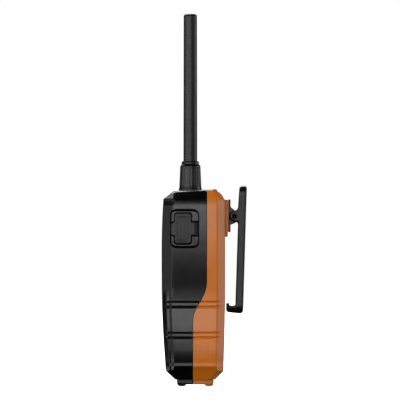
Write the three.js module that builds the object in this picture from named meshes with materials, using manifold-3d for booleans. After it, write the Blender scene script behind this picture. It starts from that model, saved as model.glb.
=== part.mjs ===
// Handheld two-way radio with a spring belt clip, in millimetres.
// X is the width, Y the depth with the display facing -Y, and Z points up from the underside of the feet.
import * as THREE from "three";
import { mergeVertices } from "three/addons/utils/BufferGeometryUtils.js";
import Module from "manifold-3d";

const wasm = await Module();
wasm.setup();

// ---------------------------------------------------------------- driving dimensions
const GAP = 0.3; // clearance between neighbouring pieces
const WALL = 2.2; // housing wall
const FAR = 60; // reach of a cutter that only has to clear the body

// Body stations from the bottom to the top: height, front face, rear face and half width. "lift" says how
// far a station rises when the section is drawn inwards, "slope" tilts the top station up towards the rear.
const STATIONS = [
  { z: 4.4, front: -18.6, rear: 6.9, half: 21.3, lift: 1 },
  { z: 10.0, front: -25.1, rear: 12.5, half: 26.2 },
  { z: 13.4, front: -25.6, rear: 12.7, half: 28.9 },
  { z: 24.4, front: -26.4, rear: 13.1, half: 29.7 },
  { z: 36.0, front: -27.2, rear: 13.4, half: 29.55 },
  { z: 47.0, front: -27.65, rear: 13.6, half: 28.95 },
  { z: 57.0, front: -27.9, rear: 13.7, half: 28.5 },
  { z: 66.0, front: -28.0, rear: 13.7, half: 28.85 },
  { z: 80.0, front: -28.1, rear: 13.7, half: 29.7 },
  { z: 95.0, front: -28.1, rear: 13.7, half: 30.2 },
  { z: 108.0, front: -27.8, rear: 13.7, half: 30.0 },
  { z: 118.0, front: -27.3, rear: 13.7, half: 29.7 },
  { z: 123.2, front: -26.9, rear: 13.0, half: 29.1 },
  { z: 126.2, front: -23.5, rear: 10.6, half: 26.0, lift: -0.8 },
  { z: 128.0, front: -21.2, rear: 6.6, half: 23.7, lift: -1, slope: 0.049 },
];
const FRONT_BEVEL = { wide: 9.5, deep: 7.1 };
const REAR_BEVEL = { wide: 7.0, deep: 4.9 };
const CORNER_RADII = [4, 3, 2.5, 3];
const SHORT_BEVEL = 0.62; // share of the bevels left at the bottom and top stations
const BEVEL_TRIM = 0.586; // how much a bevel's legs shorten for each millimetre the section is drawn inwards

const PARTING = { low: -7.4, high: 1.8, bendStart: 42, bendEnd: 69.5 }; // seam between the two housings
// Gasket between the housings and the groove it lies in: distances in from the skin and reach past the seam.
const SEAL = { outer: 0.75, inner: 1.65, reach: 0.6 };
const SEAL_SEAT = { outer: 0.45, inner: 1.95, reach: 0.9 };
const FOOT = { radius: 3.15, height: 3.0, front: -14.9, rear: 3.1, half: 16 };
const BASE = { front: -18.0, rear: 6.0, half: 18.5, z0: 1.05, z1: 6.0 };
const RIBS = { heights: [32.1, 35.4, 52.3, 55.7], depth: 0.6, width: 1.0, front: -24.6, rear: 10.1 };

const LENS = { half: 17.2, z0: 88.5, z1: 113.5, back: -26.55 };
const WINDOW = { half: 15, z0: 91, z1: 111 };
const DISPLAY = { half: 16, z0: 88.8, z1: 112.8, front: -24.6, back: -20.0 };

const KEY = { half: 4.3, tall: 3.0, radius: 1.6, top: 0.2, shoulder: -25.3, flange: -24.6, stem: -21.5 };
const KEY_TRAVEL = 0.8;
const KEY_COLUMNS = [-11.5, 0, 11.5];
const KEY_ROWS = { upper: 78.5, lower: 68.0 };
const KEYS = [
  ["key_power", 0, "upper"],
  ["key_call", 1, "upper"],
  ["key_up", 2, "upper"],
  ["key_menu", 0, "lower"],
  ["key_scan", 1, "lower"],
  ["key_down", 2, "lower"],
];
const MAT = { half: 16.5, z0: 62, z1: 85, front: -20.1, back: -19.3 };

const SPEAKER = { z: 40, radius: 13, front: -23.1, back: -19.3 };
const SLOTS = { count: 6, pitch: 3.6, tall: 1.7, half: 11.5, narrow: 1.2 };
const MICROPHONE = { x: 11, z: 57.5, radius: 2.5, port: 0.9, front: -24.9, back: -22.9 };
const BOARD = { half: 21.8, z0: 18, z1: 112.5, front: -19.0, back: -17.6 };
const SHIELD = { half: 16, z0: 70, z1: 110, front: -17.3, back: -13.5 };
const BOARD_POST = { x: 19.5, heights: [22, 88], radius: 2.0, pilot: 0.9 };
const POST_FOOT = -27; // front end of the posts, before the front wall trims them
const LENS_FRAME = { half: 19.5, front: -27.5, back: -24.9, z0: 86.8, z1: 115.2 };

const JACK_WELL = { inner: 24.4, front: -23.5, rear: -1.2, z0: 89, z1: 118.4 };
const JACK_FRAME = {
  y0: -22.5, y1: -3.4, z0: 91.0, z1: 116.8, corner: 4.8,
  side: 0.85, end: 1.5, depth: 1.1,
};
const FLAP = { y0: -19.4, y1: -8.6, z0: 94.0, z1: 113.8, corner: 1.6, floor: 27.4 };
const TAB = { y: -21.95, z0: 98.9, z1: 108.4, slant: 1.4 };
const STRAP = { y: -4.6, z0: 99.4, z1: 108.0 };
const JACKS = { y: -13.9, heights: [99.5, 108.5], hole: 2.0, plug: 1.6, plugDepth: 1.5, bores: [1.25, 1.75] };
const JACK_BLOCK = { x0: 19.2, x1: 24.1, y0: -17.2, y1: -8.8, z0: 95, z1: 113, boreDepth: 4 };

const PTT = { y0: -15, y1: -5, z0: 84, z1: 110, corner: 3.5, face: 30.2 };
const SIDE_KEY = { y0: -14, y1: -6, z0: 71, z1: 79.5, corner: 3.0, face: 30.0 };
const SIDE_BUTTON = { flange: 26.5, back: 25.7, rim: 1.2, switchFace: 24.4, switchBack: 22.3 };

const SCREW_POSTS = [
  { x: 19.6, z: 116.5, seam: 1.8, rear: 13.7 },
  { x: 15.0, z: 14.5, seam: -7.4, rear: 12.7 },
];
const HOUSING_SCREW = { post: 3.0, bore: 1.5, shank: 1.2, length: 15, head: 2.1, headHigh: 1.4, sink: 0.6 };

const CELL = { half: 15.9, front: -9.9, back: 8.9, z0: 26.5, z1: 88.0 };
const TRAY = { half: 17.5, front: -11.5, back: 8.3, z0: 24.9, z1: 91.5, wall: 1.3 };
const CONTACT = { x: 8, half: 2, front: -6, back: 4, z0: 89.3, z1: 89.9, pin: 0.9, pinTop: 93 };
const DOOR = { half: 18.5, z0: 18.0, z1: 96.8, corner: 3, thick: 1.6 };
const DOOR_WINDOW = { half: 16.2, z0: 26.3, z1: 89.0 };
const DOOR_SCREW = {
  x: 13.0, heights: [21.5, 93.2], shank: 1.0, bore: 1.3, head: 1.9, headHigh: 0.65, length: 4.0, sink: 0.7,
};

const BOSS = { half: 12, back: 15.85, z0: 101.9, z1: 123.2, stepBack: 15.5, stepZ: 98.6 };
const BRACKET = { half: 8.2, front: 16.15, back: 17.35, ear: 6.4, screws: [104.6, 120.3] };
const EAR_ROOT = { y: 16.65, z0: 106.0, z1: 119.0 };
const BRACKET_SCREW = { shank: 1.0, bore: 1.3, length: 5.3, head: 1.9, headHigh: 0.6, seat: 16.95 };
const PIVOT = { y: 19.9, z: 112.0, hub: 3.6, ring: 1.7, pin: 1.0, bore: 1.3, ear: 3.0 };
const ARM = { half: 10, flange: 8.5, web: 1.7, outerY: 25.9, outerZ: 57, lean: 0.0298, pocketZ: 56.5 };
const SPRING = { coil: 1.9, wire: 0.4, half: 4.2, turns: 4 };

const ANTENNA = { x: -13, y: -9.2, top: 245.8, seat: 129.3, whipFoot: 132.9, whip: 4.6, tip: 4.4 };
const BOOT = { foot: 7.5, neck: 6.67, neckZ: 145, collar: 5.7, top: 148.4 };
const STUD = { radius: 3.2, z0: 121.5, z1: 132.4 };
const SOCKET = { bore: 3.5, outer: 4.6, flange: 6.2, z0: 119.8, z1: 129.0, flangeZ: [122.2, 124.0] };

const PLASTIC = { color: "#3b3c3e", roughness: 0.55, metalness: 0 };
const ORANGE = { color: "#b86c3a", roughness: 0.5, metalness: 0 };
const RUBBER = { color: "#2f3032", roughness: 0.8, metalness: 0 };
const STEEL = { color: "#9a9c9e", roughness: 0.35, metalness: 1 };
const DARK_STEEL = { color: "#4c4d50", roughness: 0.4, metalness: 1 };
const BRASS = { color: "#b99a55", roughness: 0.35, metalness: 1 };

// ---------------------------------------------------------------- solids
function solid(geometry) {
  const bare = geometry.index ? geometry.toNonIndexed() : geometry.clone();
  bare.deleteAttribute("normal");
  bare.deleteAttribute("uv");
  const merged = mergeVertices(bare, 1e-4);
  const mesh = new wasm.Mesh({
    numProp: 3,
    vertProperties: new Float32Array(merged.attributes.position.array),
    triVerts: new Uint32Array(merged.index.array),
  });
  return new wasm.Manifold(mesh);
}

function geometryOf(manifold) {
  const mesh = manifold.getMesh();
  const geometry = new THREE.BufferGeometry();
  geometry.setAttribute("position", new THREE.BufferAttribute(new Float32Array(mesh.vertProperties), 3));
  geometry.setIndex(new THREE.BufferAttribute(new Uint32Array(mesh.triVerts), 1));
  return geometry;
}

function block(x0, x1, y0, y1, z0, z1) {
  const geometry = new THREE.BoxGeometry(x1 - x0, y1 - y0, z1 - z0);
  geometry.translate((x0 + x1) / 2, (y0 + y1) / 2, (z0 + z1) / 2);
  return solid(geometry);
}

// Axes of an extrusion: "side" draws (Y, Z) and runs along +X, "front" draws (X, Z) and runs towards -Y.
const PLANES = {
  side: new THREE.Matrix4().makeBasis(
    new THREE.Vector3(0, 1, 0), new THREE.Vector3(0, 0, 1), new THREE.Vector3(1, 0, 0)),
  front: new THREE.Matrix4().makeBasis(
    new THREE.Vector3(1, 0, 0), new THREE.Vector3(0, 0, 1), new THREE.Vector3(0, -1, 0)),
};

function prism(plane, shape, from, to, curveSegments = 2) {
  const low = Math.min(from, to);
  const depth = Math.abs(to - from);
  const geometry = new THREE.ExtrudeGeometry(shape, { depth, bevelEnabled: false, curveSegments });
  geometry.translate(0, 0, plane === "front" ? -low - depth : low);
  geometry.applyMatrix4(PLANES[plane]);
  return solid(geometry);
}

function rounded(a0, a1, b0, b1, radius) {
  const shape = new THREE.Shape();
  shape.moveTo(a0 + radius, b0);
  shape.lineTo(a1 - radius, b0);
  shape.absarc(a1 - radius, b0 + radius, radius, -Math.PI / 2, 0);
  shape.lineTo(a1, b1 - radius);
  shape.absarc(a1 - radius, b1 - radius, radius, 0, Math.PI / 2);
  shape.lineTo(a0 + radius, b1);
  shape.absarc(a0 + radius, b1 - radius, radius, Math.PI / 2, Math.PI);
  shape.lineTo(a0, b0 + radius);
  shape.absarc(a0 + radius, b0 + radius, radius, Math.PI, Math.PI * 1.5);
  return shape;
}

function polygon(points) {
  return new THREE.Shape(points.map(([a, b]) => new THREE.Vector2(a, b)));
}

// A turned solid about the Z axis from (radius, height) points that start and end on the axis.
function turned(profile, segments = 16) {
  return solid(new THREE.LatheGeometry(profile.map(([r, z]) => new THREE.Vector2(r, z)), segments)
    .rotateX(Math.PI / 2));
}

const AXIS_TURN = { x: [0, 90, 0], y: [-90, 0, 0], z: [0, 0, 0] };

function rod(axis, radius, from, to, a, b, segments = 12) {
  const bar = turned([[0, from], [radius, from], [radius, to], [0, to]], segments).rotate(AXIS_TURN[axis]);
  if (axis === "x") return bar.translate([0, a, b]);
  if (axis === "y") return bar.translate([a, 0, b]);
  return bar.translate([a, b, 0]);
}

// ---------------------------------------------------------------- body form
function filletedLoop(corners, steps = 2) {
  return corners.flatMap(({ x, y, radius }, i) => {
    const here = new THREE.Vector2(x, y);
    const before = corners[(i + corners.length - 1) % corners.length];
    const after = corners[(i + 1) % corners.length];
    const toBefore = new THREE.Vector2(before.x, before.y).sub(here).normalize();
    const toAfter = new THREE.Vector2(after.x, after.y).sub(here).normalize();
    const reach = radius / Math.tan(toBefore.angleTo(toAfter) / 2);
    const curve = new THREE.QuadraticBezierCurve(
      here.clone().addScaledVector(toBefore, reach), here, here.clone().addScaledVector(toAfter, reach));
    return curve.getPoints(steps);
  });
}

function sectionAt(station, inset) {
  const share = station.lift ? SHORT_BEVEL : 1;
  const legs = (bevel) => ({
    wide: bevel.wide * share - BEVEL_TRIM * inset,
    deep: bevel.deep * share - BEVEL_TRIM * inset,
  });
  const front = legs(FRONT_BEVEL);
  const rear = legs(REAR_BEVEL);
  const half = station.half - inset;
  const y0 = station.front + inset;
  const y1 = station.rear - inset;
  const right = [
    { x: half - front.wide, y: y0 },
    { x: half, y: y0 + front.deep },
    { x: half, y: y1 - rear.deep },
    { x: half - rear.wide, y: y1 },
  ].map((corner, i) => ({ ...corner, radius: Math.max(0.6, (CORNER_RADII[i] - inset) * share) }));
  const left = right.map((corner) => ({ ...corner, x: -corner.x })).reverse();
  const z = station.z + inset * (station.lift ?? 0);
  return filletedLoop([...right, ...left])
    .map((p) => [p.x, p.y, z + (station.slope ?? 0) * (p.y - station.front)]);
}

const bodies = new Map();

// The whole body drawn inwards by inset, as one closed loft.
function body(inset) {
  if (bodies.has(inset)) return bodies.get(inset);
  const rings = STATIONS.map((station) => sectionAt(station, inset));
  const count = rings[0].length;
  const index = [];
  for (let ring = 0; ring < rings.length - 1; ring += 1) {
    for (let i = 0; i < count; i += 1) {
      const a = ring * count + i;
      const b = ring * count + ((i + 1) % count);
      index.push(a, b, b + count, a, b + count, a + count);
    }
  }
  const top = (rings.length - 1) * count;
  for (let i = 1; i < count - 1; i += 1) {
    index.push(0, i + 1, i);
    index.push(top, top + i, top + i + 1);
  }
  const geometry = new THREE.BufferGeometry();
  geometry.setAttribute("position", new THREE.Float32BufferAttribute(rings.flat(2), 3));
  geometry.setIndex(index);
  const made = solid(geometry);
  bodies.set(inset, made);
  return made;
}

const skin = (outer, inner) => body(outer).subtract(body(inner));

// Everything on one side of the seam: "front" lies at lower Y, "rear" at higher Y, shifted along Y.
function seamSide(which, shift) {
  const edge = which === "front" ? -FAR : FAR;
  const { low, high, bendStart, bendEnd } = PARTING;
  const shape = new THREE.Shape();
  shape.moveTo(edge, -5);
  shape.lineTo(low + shift, -5);
  shape.lineTo(low + shift, bendStart);
  shape.bezierCurveTo(low + shift, bendStart + 12, high + shift, bendEnd - 12.5, high + shift, bendEnd);
  shape.lineTo(high + shift, 140);
  shape.lineTo(edge, 140);
  return prism("side", shape, -FAR, FAR, 8);
}

function outerForm() {
  let form = body(0).add(block(-BASE.half, BASE.half, BASE.front, BASE.rear, BASE.z0, BASE.z1));
  for (const y of [FOOT.front, FOOT.rear]) {
    form = form.add(rod("x", FOOT.radius, -FOOT.half, FOOT.half, y, FOOT.height, 20));
  }
  const collar = rod("z", BOOT.foot + 0.5, 120, ANTENNA.seat - GAP, ANTENNA.x, ANTENNA.y, 24);
  return form.add(collar).subtract(block(-FAR, FAR, -FAR, FAR, -10, 0));
}

function ribGrooves() {
  const cuts = RIBS.heights.map((z) =>
    block(-FAR, FAR, RIBS.front, RIBS.rear, z - RIBS.width / 2, z + RIBS.width / 2));
  const flanks = block(-FAR, FAR, -FAR, FAR, 0, 140).subtract(block(-20, 20, -FAR, FAR, -1, 141));
  return wasm.Manifold.union(cuts).intersect(flanks).subtract(body(RIBS.depth));
}

function halfShell(which) {
  const shift = which === "front" ? -GAP / 2 : GAP / 2;
  const seat = skin(SEAL_SEAT.outer, SEAL_SEAT.inner)
    .intersect(seamSide("front", SEAL_SEAT.reach))
    .intersect(seamSide("rear", -SEAL_SEAT.reach));
  return outerForm().subtract(body(WALL)).intersect(seamSide(which, shift)).subtract(seat)
    .subtract(ribGrooves());
}

function housingGasket() {
  return skin(SEAL.outer, SEAL.inner)
    .intersect(seamSide("front", SEAL.reach))
    .intersect(seamSide("rear", -SEAL.reach));
}

// ---------------------------------------------------------------- front housing
function keyOutline(column, row, grow = 0) {
  const x = KEY_COLUMNS[column];
  const z = KEY_ROWS[row];
  const wide = KEY.half + grow;
  const tall = KEY.tall + grow;
  return rounded(x - wide, x + wide, z - tall, z + tall, KEY.radius + grow);
}

function speakerSlots() {
  const slots = [];
  for (let i = 0; i < SLOTS.count; i += 1) {
    const step = i - (SLOTS.count - 1) / 2;
    const z = SPEAKER.z - 1 + step * SLOTS.pitch;
    const half = SLOTS.half - Math.abs(step) * SLOTS.narrow;
    const high = SLOTS.tall / 2;
    slots.push(prism("front", rounded(-half, half, z - high, z + high, high - 0.01), -FAR, -22, 1));
  }
  return wasm.Manifold.union(slots);
}

function flapOutline(grow) {
  const { y0, y1, z0, z1, corner } = FLAP;
  const main = rounded(y0 - grow, y1 + grow, z0 - grow, z1 + grow, corner + grow);
  const tab = polygon([
    [y0 + 1, TAB.z0 - grow],
    [y0 + 0.4, TAB.z0 - grow],
    [TAB.y - grow, TAB.z0 + TAB.slant - grow],
    [TAB.y - grow, TAB.z1 - TAB.slant + grow],
    [y0 + 0.4, TAB.z1 + grow],
    [y0 + 1, TAB.z1 + grow],
  ].reverse());
  const strap = rounded(y1 - 1, STRAP.y + grow, STRAP.z0 - grow, STRAP.z1 + grow, 0.5);
  return (from) => prism("side", main, from, FAR)
    .add(prism("side", tab, from, FAR))
    .add(prism("side", strap, from, FAR));
}

function jackFrameGroove() {
  const { y0, y1, z0, z1, side, end, depth, corner } = JACK_FRAME;
  const outer = prism("side", rounded(y0, y1, z0, z1, corner), 10, FAR);
  const inner = prism("side",
    rounded(y0 + side, y1 - side, z0 + end, z1 - end, corner - end), 10, FAR);
  return outer.subtract(inner).subtract(body(depth));
}

function frontHousing() {
  const { inner, front, rear, z0, z1 } = JACK_WELL;
  let shell = halfShell("front");
  const additions = [
    block(inner, FAR, front, rear, z0, z1).intersect(body(0.2)),
    block(-LENS_FRAME.half, LENS_FRAME.half, LENS_FRAME.front, LENS_FRAME.back, LENS_FRAME.z0, LENS_FRAME.z1)
      .intersect(body(0.4)),
  ];
  for (const side of [-1, 1]) {
    for (const post of SCREW_POSTS) {
      additions.push(rod("y", HOUSING_SCREW.post, POST_FOOT, post.seam - GAP / 2, side * post.x, post.z)
        .intersect(body(0.5)));
    }
    for (const z of BOARD_POST.heights) {
      additions.push(rod("y", BOARD_POST.radius, POST_FOOT, BOARD.front - GAP, side * BOARD_POST.x, z, 12)
        .intersect(body(0.5)));
    }
  }
  shell = wasm.Manifold.union([shell, ...additions]);

  const anchor = anchorBox(GAP);
  const cuts = [
    prism("front", rounded(-LENS.half - GAP, LENS.half + GAP, LENS.z0 - GAP, LENS.z1 + GAP, 2.3),
      -FAR, LENS.back + 0.25),
    prism("front", rounded(-WINDOW.half, WINDOW.half, WINDOW.z0, WINDOW.z1, 1), -FAR, -20, 1),
    speakerSlots(),
    rod("y", MICROPHONE.port, -FAR, -23, MICROPHONE.x, MICROPHONE.z, 10),
    rod("z", SOCKET.outer + GAP, 110, 140, ANTENNA.x, ANTENNA.y, 20),
    jackFrameGroove(),
    flapOutline(GAP)(FLAP.floor),
    anchor,
    sideOpening(PTT),
    sideOpening(SIDE_KEY),
  ];
  for (const [, column, row] of KEYS) {
    cuts.push(prism("front", keyOutline(column, row, GAP), -FAR, -22, 1));
  }
  for (const z of JACKS.heights) cuts.push(rod("x", JACKS.hole, 20, FAR, JACKS.y, z));
  for (const side of [-1, 1]) {
    for (const post of SCREW_POSTS) {
      cuts.push(rod("y", HOUSING_SCREW.bore, post.seam - 9, post.seam + 1, side * post.x, post.z, 12));
    }
    for (const z of BOARD_POST.heights) {
      cuts.push(rod("y", BOARD_POST.pilot + GAP, BOARD.front - 4.5, BOARD.front, side * BOARD_POST.x, z, 10));
    }
  }
  return shell.subtract(wasm.Manifold.union(cuts));
}

function anchorBox(grow) {
  return block(26.6 - grow, 28.6 + grow, STRAP.y + GAP - grow, -2.7 + grow,
    STRAP.z0 + 0.3 - grow, STRAP.z1 - 0.3 + grow);
}

// ---------------------------------------------------------------- side buttons on the -X side
const buttonOutline = ({ y0, y1, z0, z1, corner }, grow) =>
  rounded(y0 - grow, y1 + grow, z0 - grow, z1 + grow, corner + grow);

const sideOpening = (button) => prism("side", buttonOutline(button, GAP), -FAR, -20);

function sideButton(button) {
  const cap = prism("side", buttonOutline(button, 0), -button.face, -SIDE_BUTTON.back)
    .intersect(body(-0.45));
  const rim = prism("side", buttonOutline(button, SIDE_BUTTON.rim), -SIDE_BUTTON.flange, -SIDE_BUTTON.back);
  return cap.add(rim);
}

function sideSwitch(button) {
  const y = (button.y0 + button.y1) / 2;
  const z = (button.z0 + button.z1) / 2;
  const { switchFace, switchBack } = SIDE_BUTTON;
  return block(-switchFace + 0.8, -switchBack, y - 2.5, y + 2.5, z - 3.2, z + 3.2)
    .add(rod("x", 1.4, -switchFace, -switchBack - 0.2, y, z, 14));
}

// ---------------------------------------------------------------- rear housing and battery
const doorSpace = (grow) => prism("front", rounded(-DOOR.half - grow, DOOR.half + grow,
  DOOR.z0 - grow, DOOR.z1 + grow, DOOR.corner), 0, FAR);

const doorWindow = (grow, from) => prism("front", rounded(-DOOR_WINDOW.half - grow,
  DOOR_WINDOW.half + grow, DOOR_WINDOW.z0 - grow, DOOR_WINDOW.z1 + grow, 1.2 + grow), from, FAR, 1);

function rearHousing() {
  let shell = halfShell("rear");
  const boss = polygon([
    [10, BOSS.z1],
    [10, BOSS.stepZ],
    [BOSS.stepBack - 0.4, BOSS.stepZ],
    [BOSS.stepBack, BOSS.stepZ + 1.4],
    [BOSS.stepBack, BOSS.z0],
    [BOSS.back, BOSS.z0],
    [BOSS.back, BOSS.z1],
  ]);
  const additions = [
    prism("side", boss, -BOSS.half, BOSS.half).subtract(body(WALL + 1.6)),
    prism("front", rounded(-20.6, 20.6, DOOR.z0 - 1.8, DOOR.z1 + 1.4, 3), 0, FAR).intersect(skin(1.2, 3.8)),
  ];
  for (const side of [-1, 1]) {
    for (const post of SCREW_POSTS) {
      additions.push(rod("y", HOUSING_SCREW.post, post.seam + GAP / 2, FAR, side * post.x, post.z)
        .intersect(body(0.5)));
    }
  }
  shell = wasm.Manifold.union([shell, ...additions]);

  const cuts = [
    doorSpace(GAP).subtract(body(DOOR.thick + GAP)),
    doorWindow(0, 0),
    doorWindow(1.7, 0).subtract(doorWindow(0.4, 0)).subtract(body(3.1)),
  ];
  for (const z of BRACKET.screws) cuts.push(rod("y", BRACKET_SCREW.bore, 11.2, FAR, 0, z, 12));
  for (const side of [-1, 1]) {
    for (const z of DOOR_SCREW.heights) {
      cuts.push(rod("y", DOOR_SCREW.bore, 0, FAR, side * DOOR_SCREW.x, z, 12));
    }
    for (const { x, z, rear } of SCREW_POSTS) {
      cuts.push(rod("y", HOUSING_SCREW.bore, -10, FAR, side * x, z, 12));
      const seat = rear - HOUSING_SCREW.sink - HOUSING_SCREW.headHigh - GAP;
      cuts.push(rod("y", HOUSING_SCREW.head + 0.4, seat, FAR, side * x, z, 14));
    }
  }
  return shell.subtract(wasm.Manifold.union(cuts));
}

function batteryDoor() {
  let door = doorSpace(0).intersect(skin(0.05, DOOR.thick));
  for (const side of [-1, 1]) {
    for (const z of DOOR_SCREW.heights) {
      door = door.subtract(rod("y", DOOR_SCREW.bore, 0, FAR, side * DOOR_SCREW.x, z, 12));
      const seat = doorFace(z) - DOOR_SCREW.sink - GAP;
      door = door.subtract(rod("y", DOOR_SCREW.head + GAP, seat, FAR, side * DOOR_SCREW.x, z, 14));
    }
  }
  return door;
}

// Rear face of the body at a height, between the stations.
function doorFace(z) {
  const above = STATIONS.findIndex((station) => station.z >= z);
  const [a, b] = [STATIONS[above - 1], STATIONS[above]];
  return THREE.MathUtils.mapLinear(z, a.z, b.z, a.rear, b.rear);
}

const doorGasket = () => doorWindow(1.4, 0).subtract(doorWindow(0.7, 0)).intersect(skin(1.95, 2.8));

function batteryTray() {
  const { half, front, back, z0, z1, wall } = TRAY;
  let tray = block(-half, half, front, back, z0, z1)
    .subtract(block(-half + wall, half - wall, front + wall, FAR, z0 + wall, z1 - wall));
  for (const side of [-1, 1]) {
    tray = tray.subtract(rod("z", CONTACT.pin + GAP, z1 - 4, z1 + 4, side * CONTACT.x, -1, 12));
  }
  return tray;
}

function batteryContact(side) {
  const { x, half, front, back, z0, z1, pin, pinTop } = CONTACT;
  return block(side * x - half, side * x + half, front, back, z0, z1)
    .add(rod("z", pin, z1 - 0.2, pinTop, side * x, -1, 12));
}

function batteryPack() {
  const { half, front, back, z0, z1 } = CELL;
  const outline = rounded(-half, half, z0, z1, 2);
  return prism("front", outline, front, back);
}

// ---------------------------------------------------------------- fasteners
// A pan-head screw along +Y: the underside of its head is at y = 0, and the shank runs towards -Y.
function screw({ shank, length, head, headHigh = 1.1 }) {
  const profile = [
    [0, -length],
    [shank * 0.6, -length],
    [shank, -length + 1.2],
    [shank, 0],
    [head, 0],
    [head, headHigh * 0.55],
    [head * 0.72, headHigh],
    [0, headHigh],
  ];
  const recess = turned([[0, headHigh * 0.35], [head * 0.42, headHigh * 0.35],
    [head * 0.42, headHigh + 1], [0, headHigh + 1]], 4);
  return turned(profile, 10).subtract(recess).rotate(AXIS_TURN.y);
}

// ---------------------------------------------------------------- jack cover, jacks and electronics
function jackCover() {
  const flap = flapOutline(0)(FLAP.floor + GAP).intersect(body(0.1));
  const plugs = JACKS.heights.map((z) =>
    rod("x", JACKS.plug, FLAP.floor + GAP - JACKS.plugDepth, FLAP.floor + 0.5, JACKS.y, z, 14));
  return wasm.Manifold.union([flap, ...plugs]);
}

function jackBlock() {
  const { x0, x1, y0, y1, z0, z1, boreDepth } = JACK_BLOCK;
  const bores = JACKS.heights.map((z, i) => rod("x", JACKS.bores[i], x1 - boreDepth, x1 + 1, JACKS.y, z, 14));
  return block(x0, x1, y0, y1, z0, z1).subtract(wasm.Manifold.union(bores));
}

function key(column, row) {
  const cap = prism("front", keyOutline(column, row), -FAR, KEY.shoulder + 0.1, 1).intersect(body(KEY.top));
  const flange = prism("front", keyOutline(column, row, 0.9), KEY.shoulder, KEY.flange, 1);
  const stem = rod("y", 1.5, KEY.flange - 0.1, KEY.stem, KEY_COLUMNS[column], KEY_ROWS[row], 8);
  return wasm.Manifold.union([cap, flange, stem]);
}

function keypadMat() {
  const { half, z0, z1, front, back } = MAT;
  const pads = KEYS.map(([, column, row]) =>
    rod("y", 2.4, KEY.stem + KEY_TRAVEL + GAP, front + 0.2, KEY_COLUMNS[column], KEY_ROWS[row], 8));
  return prism("front", rounded(-half, half, z0, z1, 2), front, back).add(wasm.Manifold.union(pads));
}

function mainBoard() {
  const { half, z0, z1, front, back } = BOARD;
  const holes = [-1, 1].flatMap((side) =>
    BOARD_POST.heights.map((z) => rod("y", 1.3, front - 1, back + 1, side * BOARD_POST.x, z, 12)));
  return prism("front", rounded(-half, half, z0, z1, 2), front, back)
    .subtract(wasm.Manifold.union(holes));
}

function speakerUnit() {
  const depth = SPEAKER.back - SPEAKER.front;
  const profile = [
    [0, 0.9],
    [4, 0.7],
    [5, 1.5],
    [11.2, 0.3],
    [11.6, 0],
    [SPEAKER.radius, 0],
    [SPEAKER.radius, 1.2],
    [8.5, 2.2],
    [8.5, depth],
    [0, depth],
  ];
  return turned(profile, 20).rotate(AXIS_TURN.y).translate([0, SPEAKER.front, SPEAKER.z]);
}

function shieldCan() {
  const { half, z0, z1, front, back } = SHIELD;
  return block(-half, half, front, back, z0, z1)
    .subtract(block(-half + 0.5, half - 0.5, front - 1, back - 0.5, z0 + 0.5, z1 - 0.5));
}

// ---------------------------------------------------------------- belt clip
const armOuter = (z) => ARM.outerY + (z - ARM.outerZ) * ARM.lean;

function armOutline() {
  const shape = new THREE.Shape();
  shape.moveTo(armOuter(130.2), 130.2);
  shape.quadraticCurveTo(28.2, 131.9, 25.8, 132.1);
  shape.quadraticCurveTo(23.3, 132.1, 23.1, 129.4);
  shape.lineTo(22.6, 119.0);
  shape.quadraticCurveTo(22.1, 116.6, 20.2, 116.4);
  shape.lineTo(18.67, 115.38);
  shape.absarc(PIVOT.y, PIVOT.z, PIVOT.hub, 1.92, 4.87, false);
  shape.quadraticCurveTo(22.5, 108.0, 22.1, 104.0);
  shape.lineTo(20.6, 57);
  shape.lineTo(20.5, 54.2);
  shape.quadraticCurveTo(20.4, 52.9, 19.2, 52.9);
  shape.lineTo(17.4, 52.9);
  shape.quadraticCurveTo(16.7, 52.9, 16.5, 54.3);
  shape.quadraticCurveTo(15.6, 54.8, 14.5, 54.3);
  shape.lineTo(14.4, 50.8);
  shape.quadraticCurveTo(14.6, 48.9, 16.4, 48.6);
  shape.lineTo(22.6, 47.9);
  shape.quadraticCurveTo(25.2, 47.7, armOuter(50.6), 50.6);
  return shape;
}

function clipArm() {
  const pocket = polygon([
    [10, ARM.pocketZ],
    [armOuter(ARM.pocketZ) - ARM.web, ARM.pocketZ],
    [armOuter(128.6) - ARM.web, 128.6],
    [10, 128.6],
  ]);
  return prism("side", armOutline(), -ARM.half, ARM.half, 4)
    .subtract(prism("side", pocket, -ARM.flange, ARM.flange))
    .subtract(rod("x", PIVOT.ring, -FAR, FAR, PIVOT.y, PIVOT.z, 18));
}

function clipBracket() {
  const plate = rounded(-BRACKET.half, BRACKET.half, BOSS.z0, BOSS.z1, 1.2);
  const ear = new THREE.Shape();
  ear.moveTo(EAR_ROOT.y, EAR_ROOT.z1);
  ear.lineTo(EAR_ROOT.y, EAR_ROOT.z0);
  ear.lineTo(20.6, 107.6);
  ear.lineTo(20.9, 109.3);
  ear.absarc(PIVOT.y, PIVOT.z, PIVOT.ear, -1.1, 1.7, false);
  ear.lineTo(18.2, 117.4);
  const ears = [-1, 1].map((side) =>
    prism("side", ear, side * BRACKET.ear, side * BRACKET.half, 4));
  const holes = BRACKET.screws.flatMap((z) => [
    rod("y", BRACKET_SCREW.bore, 10, 20, 0, z, 12),
    rod("y", BRACKET_SCREW.head + GAP, BRACKET_SCREW.seat - GAP, 20, 0, z, 14),
  ]);
  return prism("front", plate, BRACKET.front, BRACKET.back)
    .add(wasm.Manifold.union(ears))
    .subtract(rod("x", PIVOT.bore, -FAR, FAR, PIVOT.y, PIVOT.z, 14))
    .subtract(wasm.Manifold.union(holes));
}

function clipPin() {
  const { half } = ARM;
  return rod("x", PIVOT.pin, -half - 0.1, half + 0.1, PIVOT.y, PIVOT.z, 14);
}

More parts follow.
